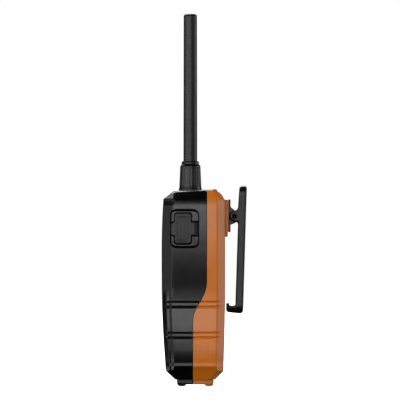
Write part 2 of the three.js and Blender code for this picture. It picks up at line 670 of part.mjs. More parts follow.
// Torsion spring: one leg down along the bracket plate, a coil round the pin, one leg up inside the lever.
function clipSpring() {
  const points = [
    new THREE.Vector3(-SPRING.half, 18.0, 106.6),
    new THREE.Vector3(-SPRING.half, 18.0, 109.2),
  ];
  const steps = SPRING.turns * 6;
  for (let i = 0; i <= steps; i += 1) {
    const angle = Math.PI - (i / steps) * (SPRING.turns * 2 + 1) * Math.PI;
    const x = -SPRING.half + (2 * SPRING.half * i) / steps;
    const y = PIVOT.y + SPRING.coil * Math.cos(angle);
    const z = PIVOT.z + SPRING.coil * Math.sin(angle);
    points.push(new THREE.Vector3(x, y, z));
  }
  points.push(new THREE.Vector3(SPRING.half, 22.0, 109.4));
  points.push(new THREE.Vector3(SPRING.half, 22.6, 106.8));
  const section = new THREE.Shape().absarc(0, 0, SPRING.wire, 0, Math.PI * 2);
  const path = new THREE.CatmullRomCurve3(points, false, "centripetal");
  const geometry = new THREE.ExtrudeGeometry(section, {
    steps: 46, extrudePath: path, curveSegments: 3, bevelEnabled: false,
  });
  return solid(geometry);
}

// ---------------------------------------------------------------- antenna
function antennaWhip() {
  return turned([
    [0, ANTENNA.whipFoot],
    [ANTENNA.whip, ANTENNA.whipFoot],
    [ANTENNA.whip, 160],
    [ANTENNA.tip, ANTENNA.top - 6],
    [ANTENNA.tip - 0.3, ANTENNA.top - 1.6],
    [ANTENNA.tip - 1.5, ANTENNA.top],
    [0, ANTENNA.top],
  ], 20).translate([ANTENNA.x, ANTENNA.y, 0]);
}

function antennaBoot() {
  const outside = turned([
    [0, ANTENNA.seat],
    [BOOT.foot, ANTENNA.seat],
    [BOOT.foot - 0.2, ANTENNA.seat + 1.4],
    [BOOT.neck, BOOT.neckZ],
    [BOOT.collar, BOOT.neckZ + 1.5],
    [BOOT.collar - 0.1, BOOT.top],
    [0, BOOT.top],
  ], 24);
  return outside
    .subtract(rod("z", STUD.radius + GAP, 120, 140, 0, 0))
    .subtract(rod("z", ANTENNA.whip + GAP, ANTENNA.whipFoot - GAP, 160, 0, 0, 20))
    .translate([ANTENNA.x, ANTENNA.y, 0]);
}

const antennaStud = () => rod("z", STUD.radius, STUD.z0, STUD.z1, ANTENNA.x, ANTENNA.y, 16);

function antennaSocket() {
  const { bore, outer, flange, z0, z1, flangeZ } = SOCKET;
  return rod("z", outer, z0, z1, ANTENNA.x, ANTENNA.y, 20)
    .add(rod("z", flange, flangeZ[0], flangeZ[1], ANTENNA.x, ANTENNA.y, 6))
    .subtract(rod("z", bore, z0 - 1, z1 + 1, ANTENNA.x, ANTENNA.y, 16));
}

// ---------------------------------------------------------------- assembly
const radio = new THREE.Group();

function part(name, manifold, look) {
  const mesh = new THREE.Mesh(geometryOf(manifold), new THREE.MeshStandardMaterial(look));
  mesh.name = name;
  radio.add(mesh);
  return mesh;
}

function place(name, manifold, look, x, y, z) {
  part(name, manifold, look).position.set(x, y, z);
}

part("front_housing", frontHousing(), PLASTIC);
part("rear_housing", rearHousing(), ORANGE);
part("housing_gasket", housingGasket(), RUBBER);

const lensBlank = prism("front",
  rounded(-LENS.half, LENS.half, LENS.z0, LENS.z1, 2), -FAR, LENS.back);
part("display_lens", lensBlank.intersect(body(0.12)), { color: "#16181b", roughness: 0.08 });
part("display_module",
  block(-DISPLAY.half, DISPLAY.half, DISPLAY.front, DISPLAY.back, DISPLAY.z0, DISPLAY.z1),
  { color: "#8a9486", roughness: 0.4 });

for (const [name, column, row] of KEYS) part(name, key(column, row), RUBBER);
part("keypad_mat", keypadMat(), RUBBER);

part("speaker", speakerUnit(), { color: "#2a2a2c", roughness: 0.6 });
part("speaker_mesh", rod("y", SPEAKER.radius, -23.75, -23.35, 0, SPEAKER.z, 20), RUBBER);
part("microphone", rod("y", MICROPHONE.radius, MICROPHONE.front, MICROPHONE.back,
  MICROPHONE.x, MICROPHONE.z), STEEL);
part("main_board", mainBoard(), { color: "#1f5a3a", roughness: 0.5 });
part("rf_shield", shieldCan(), STEEL);

part("jack_block", jackBlock(), PLASTIC);
part("jack_cover", jackCover(), RUBBER);
part("jack_cover_anchor", anchorBox(0), RUBBER);

part("ptt_button", sideButton(PTT), RUBBER);
part("ptt_switch", sideSwitch(PTT), STEEL);
part("side_key", sideButton(SIDE_KEY), RUBBER);
part("side_key_switch", sideSwitch(SIDE_KEY), STEEL);

part("battery_tray", batteryTray(), PLASTIC);
part("battery_pack", batteryPack(), { color: "#2f4b70", roughness: 0.45 });
part("battery_contact_plus", batteryContact(1), BRASS);
part("battery_contact_minus", batteryContact(-1), BRASS);
part("battery_door", batteryDoor(), ORANGE);
part("door_gasket", doorGasket(), RUBBER);

part("antenna_socket", antennaSocket(), BRASS);
part("antenna_stud", antennaStud(), BRASS);
part("antenna_boot", antennaBoot(), RUBBER);
part("antenna_whip", antennaWhip(), RUBBER);

part("clip_bracket", clipBracket(), PLASTIC);
part("clip_arm", clipArm(), PLASTIC);
part("clip_pin", clipPin(), DARK_STEEL);
part("clip_spring", clipSpring(), STEEL);

const bracketScrew = screw(BRACKET_SCREW);
BRACKET.screws.forEach((z, i) =>
  place(`bracket_screw_${i + 1}`, bracketScrew, DARK_STEEL, 0, BRACKET_SCREW.seat, z));

const doorScrew = screw(DOOR_SCREW);
const boardScrew = screw({ shank: 0.9, length: 4, head: 1.8 });
const housingScrew = screw(HOUSING_SCREW);
let number = 1;
for (const side of [-1, 1]) {
  for (const row of [0, 1]) {
    const doorZ = DOOR_SCREW.heights[row];
    place(`door_screw_${number}`, doorScrew, STEEL, side * DOOR_SCREW.x,
      doorFace(doorZ) - DOOR_SCREW.sink, doorZ);
    place(`board_screw_${number}`, boardScrew, STEEL,
      side * BOARD_POST.x, BOARD.back + GAP, BOARD_POST.heights[row]);
    const post = SCREW_POSTS[row];
    place(`housing_screw_${number}`, housingScrew, STEEL,
      side * post.x, post.rear - HOUSING_SCREW.sink - HOUSING_SCREW.headHigh, post.z);
    number += 1;
  }
}

export default radio;
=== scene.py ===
"""The looks of the handheld two-way radio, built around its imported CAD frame.

Shapes are worked out in millimetres and become metres as their points enter a mesh.
"""
import math

import bmesh
import bpy
import numpy as np
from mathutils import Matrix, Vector


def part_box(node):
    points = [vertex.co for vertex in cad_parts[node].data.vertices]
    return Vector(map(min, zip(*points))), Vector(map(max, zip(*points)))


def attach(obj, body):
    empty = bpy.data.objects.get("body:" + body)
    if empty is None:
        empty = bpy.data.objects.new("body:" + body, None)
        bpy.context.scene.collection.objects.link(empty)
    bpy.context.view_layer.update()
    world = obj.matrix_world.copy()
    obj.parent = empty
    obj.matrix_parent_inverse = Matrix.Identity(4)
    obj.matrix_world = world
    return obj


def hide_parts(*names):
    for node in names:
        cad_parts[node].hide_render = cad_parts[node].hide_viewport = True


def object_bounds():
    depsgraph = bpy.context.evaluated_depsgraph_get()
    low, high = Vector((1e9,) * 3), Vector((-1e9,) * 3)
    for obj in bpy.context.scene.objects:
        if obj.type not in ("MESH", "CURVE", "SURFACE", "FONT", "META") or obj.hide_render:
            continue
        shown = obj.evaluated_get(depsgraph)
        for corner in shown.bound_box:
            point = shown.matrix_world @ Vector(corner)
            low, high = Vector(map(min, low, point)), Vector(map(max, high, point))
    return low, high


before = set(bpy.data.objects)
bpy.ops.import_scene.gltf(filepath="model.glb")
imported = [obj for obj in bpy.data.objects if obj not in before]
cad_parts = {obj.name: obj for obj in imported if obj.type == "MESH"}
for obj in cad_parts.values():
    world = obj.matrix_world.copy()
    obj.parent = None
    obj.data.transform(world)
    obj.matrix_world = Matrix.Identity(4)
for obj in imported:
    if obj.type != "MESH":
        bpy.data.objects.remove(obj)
cad_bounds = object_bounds()

MM = 0.001


def cad_box(node):
    """A CAD node's lowest and highest corners in millimetres."""
    return [np.round(np.array(corner) / MM, 2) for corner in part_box(node)]


def cad_middle(node):
    low, high = cad_box(node)
    return np.round((low + high) / 2, 2)


def cad_place(node):
    """The middle of a node on the front or rear face, as (x, z)."""
    x, _, z = cad_middle(node)
    return (x, z)


# Camera, light and stage
VIEW_DISTANCE = 8.0  # metres, far enough for an almost parallel view
VIEW_WIDE = 0.264  # metres that the picture is wide at the radio
VIEW_SHIFT = Vector((0, -0.0028, -0.0002))  # metres from the radio's middle to the picture's
SENSOR_WIDE = 36
LIGHT_DISTANCE = 5.0
LIGHT_AIM = 0.08  # the height in metres that the lights turn to
FLOOR_HALF = 30


def add_object(name, data):
    added = bpy.data.objects.new(name, data)
    bpy.context.scene.collection.objects.link(added)
    return added


def make_camera():
    """Level with the middle of the whole radio, looking along -X from far away."""
    low, high = cad_bounds
    centre = Vector((0, (low.y + high.y) / 2, (low.z + high.z) / 2)) + VIEW_SHIFT
    camera = add_object("camera", bpy.data.cameras.new("camera"))
    camera.location = centre + Vector((VIEW_DISTANCE, 0, 0))
    camera.rotation_euler = (math.pi / 2, 0, math.pi / 2)
    camera.data.sensor_width = SENSOR_WIDE
    camera.data.lens = SENSOR_WIDE * VIEW_DISTANCE / VIEW_WIDE
    bpy.context.scene.camera = camera


def softbox(name, azimuth, elevation, wide, tall, radiance, diffuse=True, glossy=True):
    """A flat panel far from the radio, placed and sized by angles: azimuth 0 is the display side and
    90 is +X."""
    low, high = cad_bounds
    middle = Vector((0, (low.y + high.y) / 2, LIGHT_AIM))
    turn, rise = math.radians(azimuth), math.radians(elevation)
    towards = Vector((math.sin(turn) * math.cos(rise), -math.cos(turn) * math.cos(rise), math.sin(rise)))
    data = bpy.data.lights.new(name, "AREA")
    data.shape = "RECTANGLE"
    data.size = 2 * LIGHT_DISTANCE * math.tan(math.radians(wide / 2))
    data.size_y = 2 * LIGHT_DISTANCE * math.tan(math.radians(tall / 2))
    data.energy = radiance * math.pi * data.size * data.size_y
    lamp = add_object(name, data)
    lamp.location = middle + towards * LIGHT_DISTANCE
    lamp.rotation_euler = (-towards).to_track_quat("-Z", "Y").to_euler()
    lamp.visible_camera = False
    lamp.visible_diffuse = diffuse
    lamp.visible_glossy = glossy


def make_lights():
    """Panels that light and reflect, then the ones that only light and the ones that only reflect."""
    panels = [("key", 62, 8.5, 86, 17, 3.3), ("clip_side", 190, 12, 36, 38, 1.6),
              ("display_side", -11, 3, 32, 14, 0.45)]
    washes = [("key_wash", 75, 30, 90, 36, 1.75), ("rim_wash", 290, 45, 80, 26, 2.4),
              ("low_fill", 80, -35, 60, 30, 0.9), ("rear_wash", 195, 30, 60, 40, 1.0),
              ("far_wash", 280, 25, 70, 40, 1.5), ("display_wash", -15, 25, 60, 40, 1.5)]
    levels = [("display_level", 8, 5, 22, 18, 1.1), ("rim", 281, 48, 26, 26, 6.5),
              ("rim_front", 306, 36, 34, 26, 2.3), ("rear_level", 138, 8, 56, 18, 0.6),
              ("far_level", 270, -2, 36, 24, 1.4), ("low_front", 0, -22, 36, 24, 1.7),
              ("low_front_side", 325, -16, 34, 12, 1.5), ("low_far", 262, -26, 30, 26, 1.5),
              ("low_rear_side", 215, -16, 24, 12, 1.5), ("low_rear", 175, -24, 40, 24, 1.7)]
    for panel in panels:
        softbox(*panel)
    for wash in washes:
        softbox(*wash, glossy=False)
    for level in levels:
        softbox(*level, diffuse=False)


def make_stage():
    world = bpy.data.worlds.new("studio")
    world.use_nodes = True
    settle(world.node_tree.nodes["Background"], {"Color": (1, 1, 1, 1), "Strength": 1.0})
    for ray in ("diffuse", "glossy", "transmission", "scatter"):
        setattr(world.cycles_visibility, ray, False)
    bpy.context.scene.world = world
    half = FLOOR_HALF
    mesh = bpy.data.meshes.new("floor")
    mesh.from_pydata([(-half, -half, 0), (half, -half, 0), (half, half, 0), (-half, half, 0)], [],
                     [(0, 1, 2, 3)])
    floor = add_object("floor", mesh)
    material, _, shader = principled("pale_floor")
    settle(shader, {"Base Color": (0.9, 0.9, 0.9, 1), "Roughness": 0.9, "Emission Color": (1, 1, 1, 1),
                    "Emission Strength": 1.0})
    floor.data.materials.append(material)
    floor.visible_diffuse = False
    floor.visible_glossy = False
    floor.visible_shadow = False
    bpy.context.scene.view_settings.view_transform = "Standard"


# Materials
def principled(name):
    """A new material, its node tree and its shader."""
    material = bpy.data.materials.new(name)
    material.use_nodes = True
    return material, material.node_tree, material.node_tree.nodes["Principled BSDF"]


def link(tree, source, socket, target, target_socket):
    tree.links.new(source.outputs[socket], target.inputs[target_socket])


def settle(node, values):
    """Sets a node's own sockets."""
    for socket, value in values.items():
        node.inputs[socket].default_value = value


def noise(tree, scale, detail, source, socket="Object", roughness=0.5):
    node = tree.nodes.new("ShaderNodeTexNoise")
    settle(node, {"Scale": scale, "Detail": detail, "Roughness": roughness})
    link(tree, source, socket, node, "Vector")
    return node


def uneven_gloss(tree, source, shader, low, high):
    """Drives the roughness from a texture, from low to high."""
    node = tree.nodes.new("ShaderNodeMapRange")
    settle(node, {"From Min": 0.3, "From Max": 0.7, "To Min": low, "To Max": high})
    link(tree, source, "Fac", node, "Value")
    link(tree, node, "Result", shader, "Roughness")


def two_tone(tree, source, shader, dark, light, start=0.0, end=1.0):
    """Drives the base colour from a texture, from dark to light."""
    node = tree.nodes.new("ShaderNodeValToRGB")
    for element, place, colour in zip(node.color_ramp.elements, (start, end), (dark, light)):
        element.position = place
        element.color = (*colour, 1)
    link(tree, source, "Fac", node, "Fac")
    link(tree, node, "Color", shader, "Base Color")


def moulded(name, dark, light, rough, grain=4200, bump=0.0000012, coat=0.0):
    """Moulded plastic or rubber: slow colour drift, fine grain in the bump and uneven gloss."""
    coarse = 90
    material, tree, shader = principled(name)
    coordinates = tree.nodes.new("ShaderNodeTexCoord")
    drift = noise(tree, coarse, 3, coordinates)
    fine = noise(tree, grain, 2, coordinates, roughness=0.6)
    two_tone(tree, drift, shader, dark, light, 0.35, 0.65)
    uneven_gloss(tree, noise(tree, coarse * 2, 3, coordinates), shader, rough - 0.015, rough + 0.02)
    bumps = tree.nodes.new("ShaderNodeBump")
    settle(bumps, {"Strength": 1.0, "Distance": bump})
    link(tree, fine, "Fac", bumps, "Height")
    link(tree, bumps, "Normal", shader, "Normal")
    settle(shader, {"Specular IOR Level": 0.5, "Coat Weight": coat, "Coat Roughness": 0.08})
    return material


def metal(name, colour, rough):
    """Bare metal with fine scratches that run level, in its tone and its gloss."""
    material, tree, shader = principled(name)
    coordinates = tree.nodes.new("ShaderNodeTexCoord")
    stretch = tree.nodes.new("ShaderNodeMapping")
    settle(stretch, {"Scale": (1, 1, 9)})
    link(tree, coordinates, "Object", stretch, "Vector")
    lines = noise(tree, 900, 4, stretch, "Vector")
    two_tone(tree, lines, shader, [c * 0.8 for c in colour], colour)
    uneven_gloss(tree, lines, shader, rough - 0.06, rough + 0.08)
    settle(shader, {"Metallic": 1.0})
    return material


BLACK = moulded("black_moulded_plastic", (0.0014, 0.0014, 0.0016), (0.0024, 0.0024, 0.0027), 0.24)
ORANGE = moulded("orange_moulded_plastic", (0.53, 0.141, 0.006), (0.57, 0.155, 0.008), 0.30)
CLIP = moulded("black_clip_nylon", (0.0018, 0.0018, 0.002), (0.003, 0.003, 0.0033), 0.34, grain=1900)
COVER = moulded("black_cover_rubber", (0.0025, 0.0025, 0.0028), (0.004, 0.004, 0.0044), 0.36, grain=3200)
AERIAL_RUBBER = moulded("aerial_rubber", (0.0015, 0.0015, 0.0017), (0.003, 0.003, 0.0033), 0.34, grain=1500)
KEY_RUBBER = moulded("key_rubber", (0.014, 0.015, 0.016), (0.02, 0.021, 0.023), 0.45, grain=3000)
LENS = moulded("dark_display_lens", (0.004, 0.005, 0.006), (0.005, 0.006, 0.007), 0.09, bump=0.000001,
               coat=1.0)
STEEL = metal("zinc_plated_steel", (0.62, 0.62, 0.63), 0.3)
BLACK_STEEL = metal("blackened_steel", (0.055, 0.055, 0.058), 0.38)
BRASS = metal("contact_brass", (0.75, 0.55, 0.27), 0.28)
BOARD = moulded("green_board", (0.012, 0.09, 0.035), (0.02, 0.13, 0.05), 0.4, grain=1200, coat=0.4)
CELL = moulded("cell_wrap", (0.03, 0.07, 0.15), (0.04, 0.09, 0.19), 0.35, grain=700)
MARK = moulded("pale_key_ink", (0.42, 0.43, 0.42), (0.5, 0.51, 0.5), 0.5, grain=1500)
PANE = moulded("liquid_crystal_pane", (0.16, 0.19, 0.15), (0.19, 0.22, 0.175), 0.2, grain=900,
               bump=0.0000008, coat=1.0)
PANEL = moulded("display_panel", (0.2, 0.235, 0.19), (0.24, 0.275, 0.22), 0.25, grain=800)
CLOTH = moulded("acoustic_cloth", (0.008, 0.008, 0.008), (0.02, 0.02, 0.02), 0.85, grain=5200, bump=0.00006)
SWITCH = moulded("switch_plastic", (0.25, 0.25, 0.26), (0.32, 0.32, 0.33), 0.5)


# Mesh helpers
PIECES = []
SHARP_ANGLE = math.radians(32)


def shade(data):
    """Smooth faces, with a sharp edge wherever two of them meet at more than the sharp angle."""
    for polygon in data.polygons:
        polygon.use_smooth = True
    data.set_sharp_from_angle(angle=SHARP_ANGLE)


def mesh_data(mesh, name, gap):
    """Welds a bmesh's points that lie closer than gap, turns its faces outwards and makes it mesh data."""
    bmesh.ops.remove_doubles(mesh, verts=mesh.verts, dist=gap)
    bmesh.ops.recalc_face_normals(mesh, faces=mesh.faces)
    data = bpy.data.meshes.new(name)
    mesh.to_mesh(data)
    mesh.free()
    return data


def finish_piece(name, mesh, material, body, replaces=()):
    """Turns a bmesh into a shown piece that rides on a CAD body."""
    data = mesh_data(mesh, name, 1e-7)
    shade(data)
    data.materials.append(material)
    piece = add_object(name, data)
    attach(piece, body)
    if replaces:
        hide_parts(*replaces)
    PIECES.append(piece)
    return piece


def bridge(mesh, loops, closed=True, caps=True, wrap=False):
    """Joins loops of points, in mm and all of one length, into a skin. It has flat caps at its ends, or wraps
    round to its first loop."""
    rows = [[mesh.verts.new(np.asarray(p) * MM) for p in loop] for loop in loops]
    count = len(rows[0])
    for low, high in zip(rows, rows[1:] + rows[:1] if wrap else rows[1:]):
        for i in range(count if closed else count - 1):
            j = (i + 1) % count
            mesh.faces.new((low[i], low[j], high[j], high[i]))
    if caps:
        mesh.faces.new(rows[0][::-1])
        mesh.faces.new(rows[-1])
    return rows


def solid(loops):
    mesh = bmesh.new()
    bridge(mesh, loops)
    return mesh


def turned(profile, centre, segments=64, ripple=None, axis="z"):
    """A solid of revolution from (radius, place) points about an axis through centre, which gives the other
    two coordinates; ripple(angle, place) scales the radius."""
    loops = []
    for radius, place in profile:
        loop = []
        for i in range(segments):
            angle = 2 * math.pi * i / segments
            r = radius * (ripple(angle, place) if ripple else 1)
            a, b = centre[0] + r * math.cos(angle), centre[1] + r * math.sin(angle)
            loop.append({"x": (place, a, b), "y": (a, place, b), "z": (a, b, place)}[axis])
        loops.append(loop)
    return solid(loops)


def arc_points(before, here, after, radius, count, most=0.45):
    """Points round a corner, from one straight run to the next. Each run gives up at most that share."""
    here, before, after = np.array(here), np.array(before), np.array(after)
    to_before = (before - here) / np.linalg.norm(before - here)
    to_after = (after - here) / np.linalg.norm(after - here)
    angle = math.acos(np.clip(to_before @ to_after, -1, 1))
    reach = min(radius / math.tan(angle / 2), most * np.linalg.norm(before - here),
                most * np.linalg.norm(after - here))
    start, end = here + to_before * reach, here + to_after * reach
    t = np.linspace(0, 1, count)[:, None]
    return (1 - t) ** 2 * start + 2 * t * (1 - t) * here + t * t * end


def outline(corners, inset=0.0, arc=5, step=2.0):
    """Points round a polygon of (a, b, radius) corners, counterclockwise, moved inwards by inset. The count
    doesn't change with the inset, so outlines of one shape can be bridged."""
    points = np.array([c[:2] for c in corners], float)
    count = len(points)
    edges = np.roll(points, -1, axis=0) - points
    lengths = np.linalg.norm(edges, axis=1)
    along = edges / lengths[:, None]
    inward = np.stack([-along[:, 1], along[:, 0]], axis=1)
    moved = []
    for i in range(count):
        before, after = inward[i - 1], inward[i]
        moved.append(points[i] + (before + after) * inset / max(0.2, 1 + before @ after))
    arcs = []
    for i in range(count):
        turn = along[i - 1][0] * along[i][1] - along[i - 1][1] * along[i][0]
        radius = max(0.02, corners[i][2] - inset if turn > 0 else corners[i][2] + inset)
        arcs.append(arc_points(moved[i - 1], moved[i], moved[(i + 1) % count], radius, arc + 1, 0.48))
    loop = []
    for i in range(count):
        start, end = arcs[i][-1], arcs[(i + 1) % count][0]
        pieces = max(1, int(lengths[i] // step))
        loop += [*arcs[i], *[start + (end - start) * (k / pieces) for k in range(1, pieces)]]
    return np.array(loop)


def box_corners(a0, a1, b0, b1, radius):
    return [(a0, b0, radius), (a1, b0, radius), (a1, b1, radius), (a0, b1, radius)]


def plate(corners, profile, surface, arc=5, step=2.0, cap_step=None, both=False):
    """A solid whose loops follow one outline; profile holds (inset, height) and surface(a, b, height) places
    it. With cap_step, the last cap (or both) is divided finely and laid on the surface."""
    loops = []
    for inset, height in profile:
        loops.append([surface(a, b, height) for a, b in outline(corners, inset, arc, step)])
    mesh = solid(loops)
    if cap_step:
        mesh.faces.ensure_lookup_table()
        first, last = mesh.faces[-2], mesh.faces[-1]
        lay_cap(mesh, last, loops[-1], profile[-1][1], surface, cap_step)
        if both:
            lay_cap(mesh, first, loops[0], profile[0][1], surface, cap_step)
    return mesh


def lay_cap(mesh, cap_face, rim, height, surface, step):
    """Slices one face both ways and moves its points onto the surface, whose first coordinate may count
    backwards."""
    for face in mesh.faces:
        face.material_index = 0
    cap_face.material_index = 1
    rim = np.array(rim)
    thin = 0 if np.ptp(rim[:, 0]) < np.ptp(rim[:, 1]) else 1
    for axis in (1 - thin, 2):
        low, high = rim[:, axis].min(), rim[:, axis].max()
        normal = np.eye(3)[axis]
        count = max(2, round((high - low) / step))
        for k in range(1, count):
            point = normal * ((low + (high - low) * k / count) * MM)
            cap = [f for f in mesh.faces if f.material_index == 1]
            edges = {e for f in cap for e in f.edges}
            verts = {v for f in cap for v in f.verts}
            bmesh.ops.bisect_plane(mesh, geom=[*cap, *edges, *verts], plane_co=point, plane_no=normal,
                                   dist=1e-7)
    inside = set()
    for face in mesh.faces:
        if face.material_index == 1:
            inside.update(face.verts)
            face.material_index = 0
    middle_height = 50.0
    direction = np.sign(surface(1.0, middle_height, 0.0)[1 - thin])
    for vert in inside:
        x, y, z = vert.co / MM
        a = direction * (x, y)[1 - thin]
        vert.co = Vector(surface(a, z, height)) * MM


def join(target, *others):
    for other in others:
        data = bpy.data.meshes.new("joined")
        other.to_mesh(data)
        other.free()
        target.from_mesh(data)
        bpy.data.meshes.remove(data)
    return target


def cut(piece, *cutters, operation="DIFFERENCE"):
    """Cuts closed bmesh solids out of a piece, or joins them to it, and keeps the result as its mesh."""
    data = mesh_data(join(bmesh.new(), *cutters), "cutter", 1e-8)
    cutter = add_object("cutter", data)
    modifier = piece.modifiers.new("cut", "BOOLEAN")
    modifier.object = cutter
    modifier.operation = operation
    modifier.solver = "MANIFOLD"
    modifier.use_self = False
    bpy.context.view_layer.update()
    evaluated = piece.evaluated_get(bpy.context.evaluated_depsgraph_get())
    result = bpy.data.meshes.new_from_object(evaluated)
    piece.modifiers.clear()
    old = piece.data
    piece.data = result
    bpy.data.meshes.remove(old)
    bpy.data.objects.remove(cutter)
    bpy.data.meshes.remove(data)
    shade(result)


# Body form
def smooth_curve(points, window):
    """A function through (height, value) points whose corners are rounded over a window in mm."""
    step = 0.1
    levels = np.arange(-4, 140, step)
    values = np.interp(levels, [p[0] for p in points], [p[1] for p in points])
    kernel = np.hanning(max(3, int(window / step) | 1))
    kernel /= kernel.sum()
    padded = np.pad(values, len(kernel) // 2, mode="edge")
    rounded = np.convolve(padded, kernel, mode="valid")
    return lambda z: float(np.interp(z, levels, rounded))


FACE_WINDOW = 14.0
LIP_TOP = 15.6
front_face = smooth_curve([(13.4, -25.6), (24.4, -26.45), (36.9, -27.25), (49.4, -27.75), (63.3, -28.0),
                           (83, -28.09), (95, -28.09), (108, -27.8), (118, -27.3), (130, -26.6)], FACE_WINDOW)
rear_face = smooth_curve([(13.4, 12.7), (24.4, 13.1), (36, 13.45), (47, 13.62), (60, 13.7), (130, 13.7)],
                         FACE_WINDOW)
plain_half = smooth_curve([(10, 28.33), (15.6, 29.0), (19, 29.44), (23, 29.67), (29, 29.68), (34, 29.58),
                           (40, 29.38), (46, 29.0), (54, 28.54), (56, 28.5), (58, 28.52), (60, 28.56),
                           (63, 28.65), (66, 28.8), (69, 28.99), (72, 29.2), (76, 29.46), (80, 29.67),
                           (84, 29.84), (88, 29.97), (96, 30.1), (102, 30.1), (108, 29.99), (114, 29.83),
                           (119, 29.66), (130, 29.26)], 4.5)
lip_step = smooth_curve([(4, 0.32), (13.3, 0.32), (LIP_TOP, 0), (130, 0)], 0.7)
front_inset = smooth_curve([(4.4, 6.4), (10.4, 0), (123.4, 0), (128.0, 5.6), (131, 9)], 1.0)
rear_inset = smooth_curve([(4.4, 5.6), (9.8, 0), (122.6, 0), (123.8, 0.9), (125.3, 2.1), (126.9, 4.4),
                           (127.9, 6.9), (131, 14)], 1.0)
bottom_chamfer = smooth_curve([(4.4, 6.6), (13.2, 0), (130, 0)], 1.0)
top_chamfer = smooth_curve([(0, 0), (117.5, 0), (120, 0.12), (122, 0.4), (123.5, 0.75), (128.2, 5.7),
                            (133, 10.7)], 2.6)
bevel_depth = smooth_curve([(0, 5.6), (14, 6.0), (30, 6.3), (57, 6.7), (80, 7.0), (100, 7.1), (130, 7.0)], 8)
TOP_Z, TOP_SLOPE, TOP_FRONT = 127.5, 0.049, -21.0
SLOPE_START = 123.0
TOP_ROUND = 4.4
BOTTOM_Z = 4.4
BOTTOM_DIP = 0.12
WALL = 2.0
BEVEL_WIDE, REAR_BEVEL_WIDE, REAR_BEVEL_DEEP = 9.5, 7.0, 4.9
BEVEL_OUTER = (0.60, 0.40)  # shares of the front bevel's width and depth, at its two middle corners
BEVEL_INNER = (0.30, 0.70)
LEDGE_OUTER = (0.32, 0.46)  # the same where the bevel breaks into a ledge
LEDGE_INNER = (0.24, 0.71)
LEDGE_TOP, LEDGE_FADE, LEDGE_SKIN = 67.0, 12.0, 1.25
BEVEL_TRIM = 0.586  # how much of an inset a bevel loses, so that its slope stays where it is
END_INSET = 6.0  # an end that is drawn in this far has its bevels at their smallest
FRONT_LOSS, REAR_LOSS, LOW_LOSS = 1.04, 0.74, 0.42  # shares that the bevels lose at the ends
MIDDLE_Z = 60
TOP_GAIN, TOP_GAIN_START, TOP_GAIN_FADE = 0.11, 119, 3.6
SEAM_LOW, SEAM_HIGH, SEAM_START, SEAM_END = -7.4, 1.8, 42.0, 69.5
SEAM_EASE_LOW, SEAM_EASE_HIGH = 12, 12.5  # heights over which the seam's bend leaves its straight runs
SEAM_SIDE = {"front": 0.05, "rear": -0.05}
SEAM_ROUND = (0.16, 0.04)  # how far the first points beside the seam stand in
SEAM_EDGE = (0.0, 0.12, 0.35, 0.9)
RIBS = (32.1, 35.4, 52.3, 55.7)
RIB_HALF_WIDTHS = (1.05, 0.75, 1.05, 0.75)
RIB_LEVELS = (-1.3, -1.0, -0.93, -0.75, -0.5, -0.22, 0, 0.22, 0.5, 0.75, 0.93, 1.0, 1.3)
RIB_DEEP, RIB_POWER = 1.0, 1.35
RIB_FRONT, RIB_REAR, RIB_END = -25.3, 10.9, 1.6
RIB_INWARD, RIB_INWARD_FADE = 6.5, 1.5
CAP_REACH = 24.0
CAP_DISTANCES = (24, 18, 12, 8, 5, 3.2, 2.1, 1.7, 1.35, 1.05, 0.8, 0.58, 0.38, 0.2, 0.08)
ARC, FLAT, BEVEL, SIDE = 6, 14, 6, 26  # points in each stretch of a section


def half_width(z):
    return plain_half(z) + lip_step(z)


def side_inset(z):
    return bottom_chamfer(z) + top_chamfer(z)


def seam_at(z):
    """Where the two housings meet at a height: straight, an S-bend, and straight again."""
    if z <= SEAM_START:
        return SEAM_LOW
    if z >= SEAM_END:
        return SEAM_HIGH
    t = np.linspace(0, 1, 60)
    weights = [(1 - t) ** 3, 3 * t * (1 - t) ** 2, 3 * t * t * (1 - t), t ** 3]
    ends = (SEAM_START, SEAM_START + SEAM_EASE_LOW, SEAM_END - SEAM_EASE_HIGH, SEAM_END)
    levels = sum(w * h for w, h in zip(weights, ends))
    places = sum(w * p for w, p in zip(weights, (SEAM_LOW, SEAM_LOW, SEAM_HIGH, SEAM_HIGH)))
    return float(np.interp(z, levels, places))


def bevel_shares(z):
    """How much of the front and rear bevels is left at a height, near the radio's ends."""
    near_end = min(1, max(front_inset(z), side_inset(z)) / END_INSET)
    ramp = 1 + TOP_GAIN * np.clip((z - TOP_GAIN_START) / TOP_GAIN_FADE, 0, 1)
    front_loss, rear_loss = (FRONT_LOSS, REAR_LOSS) if z > MIDDLE_Z else (LOW_LOSS, LOW_LOSS)
    return ramp - front_loss * near_end, ramp - rear_loss * near_end


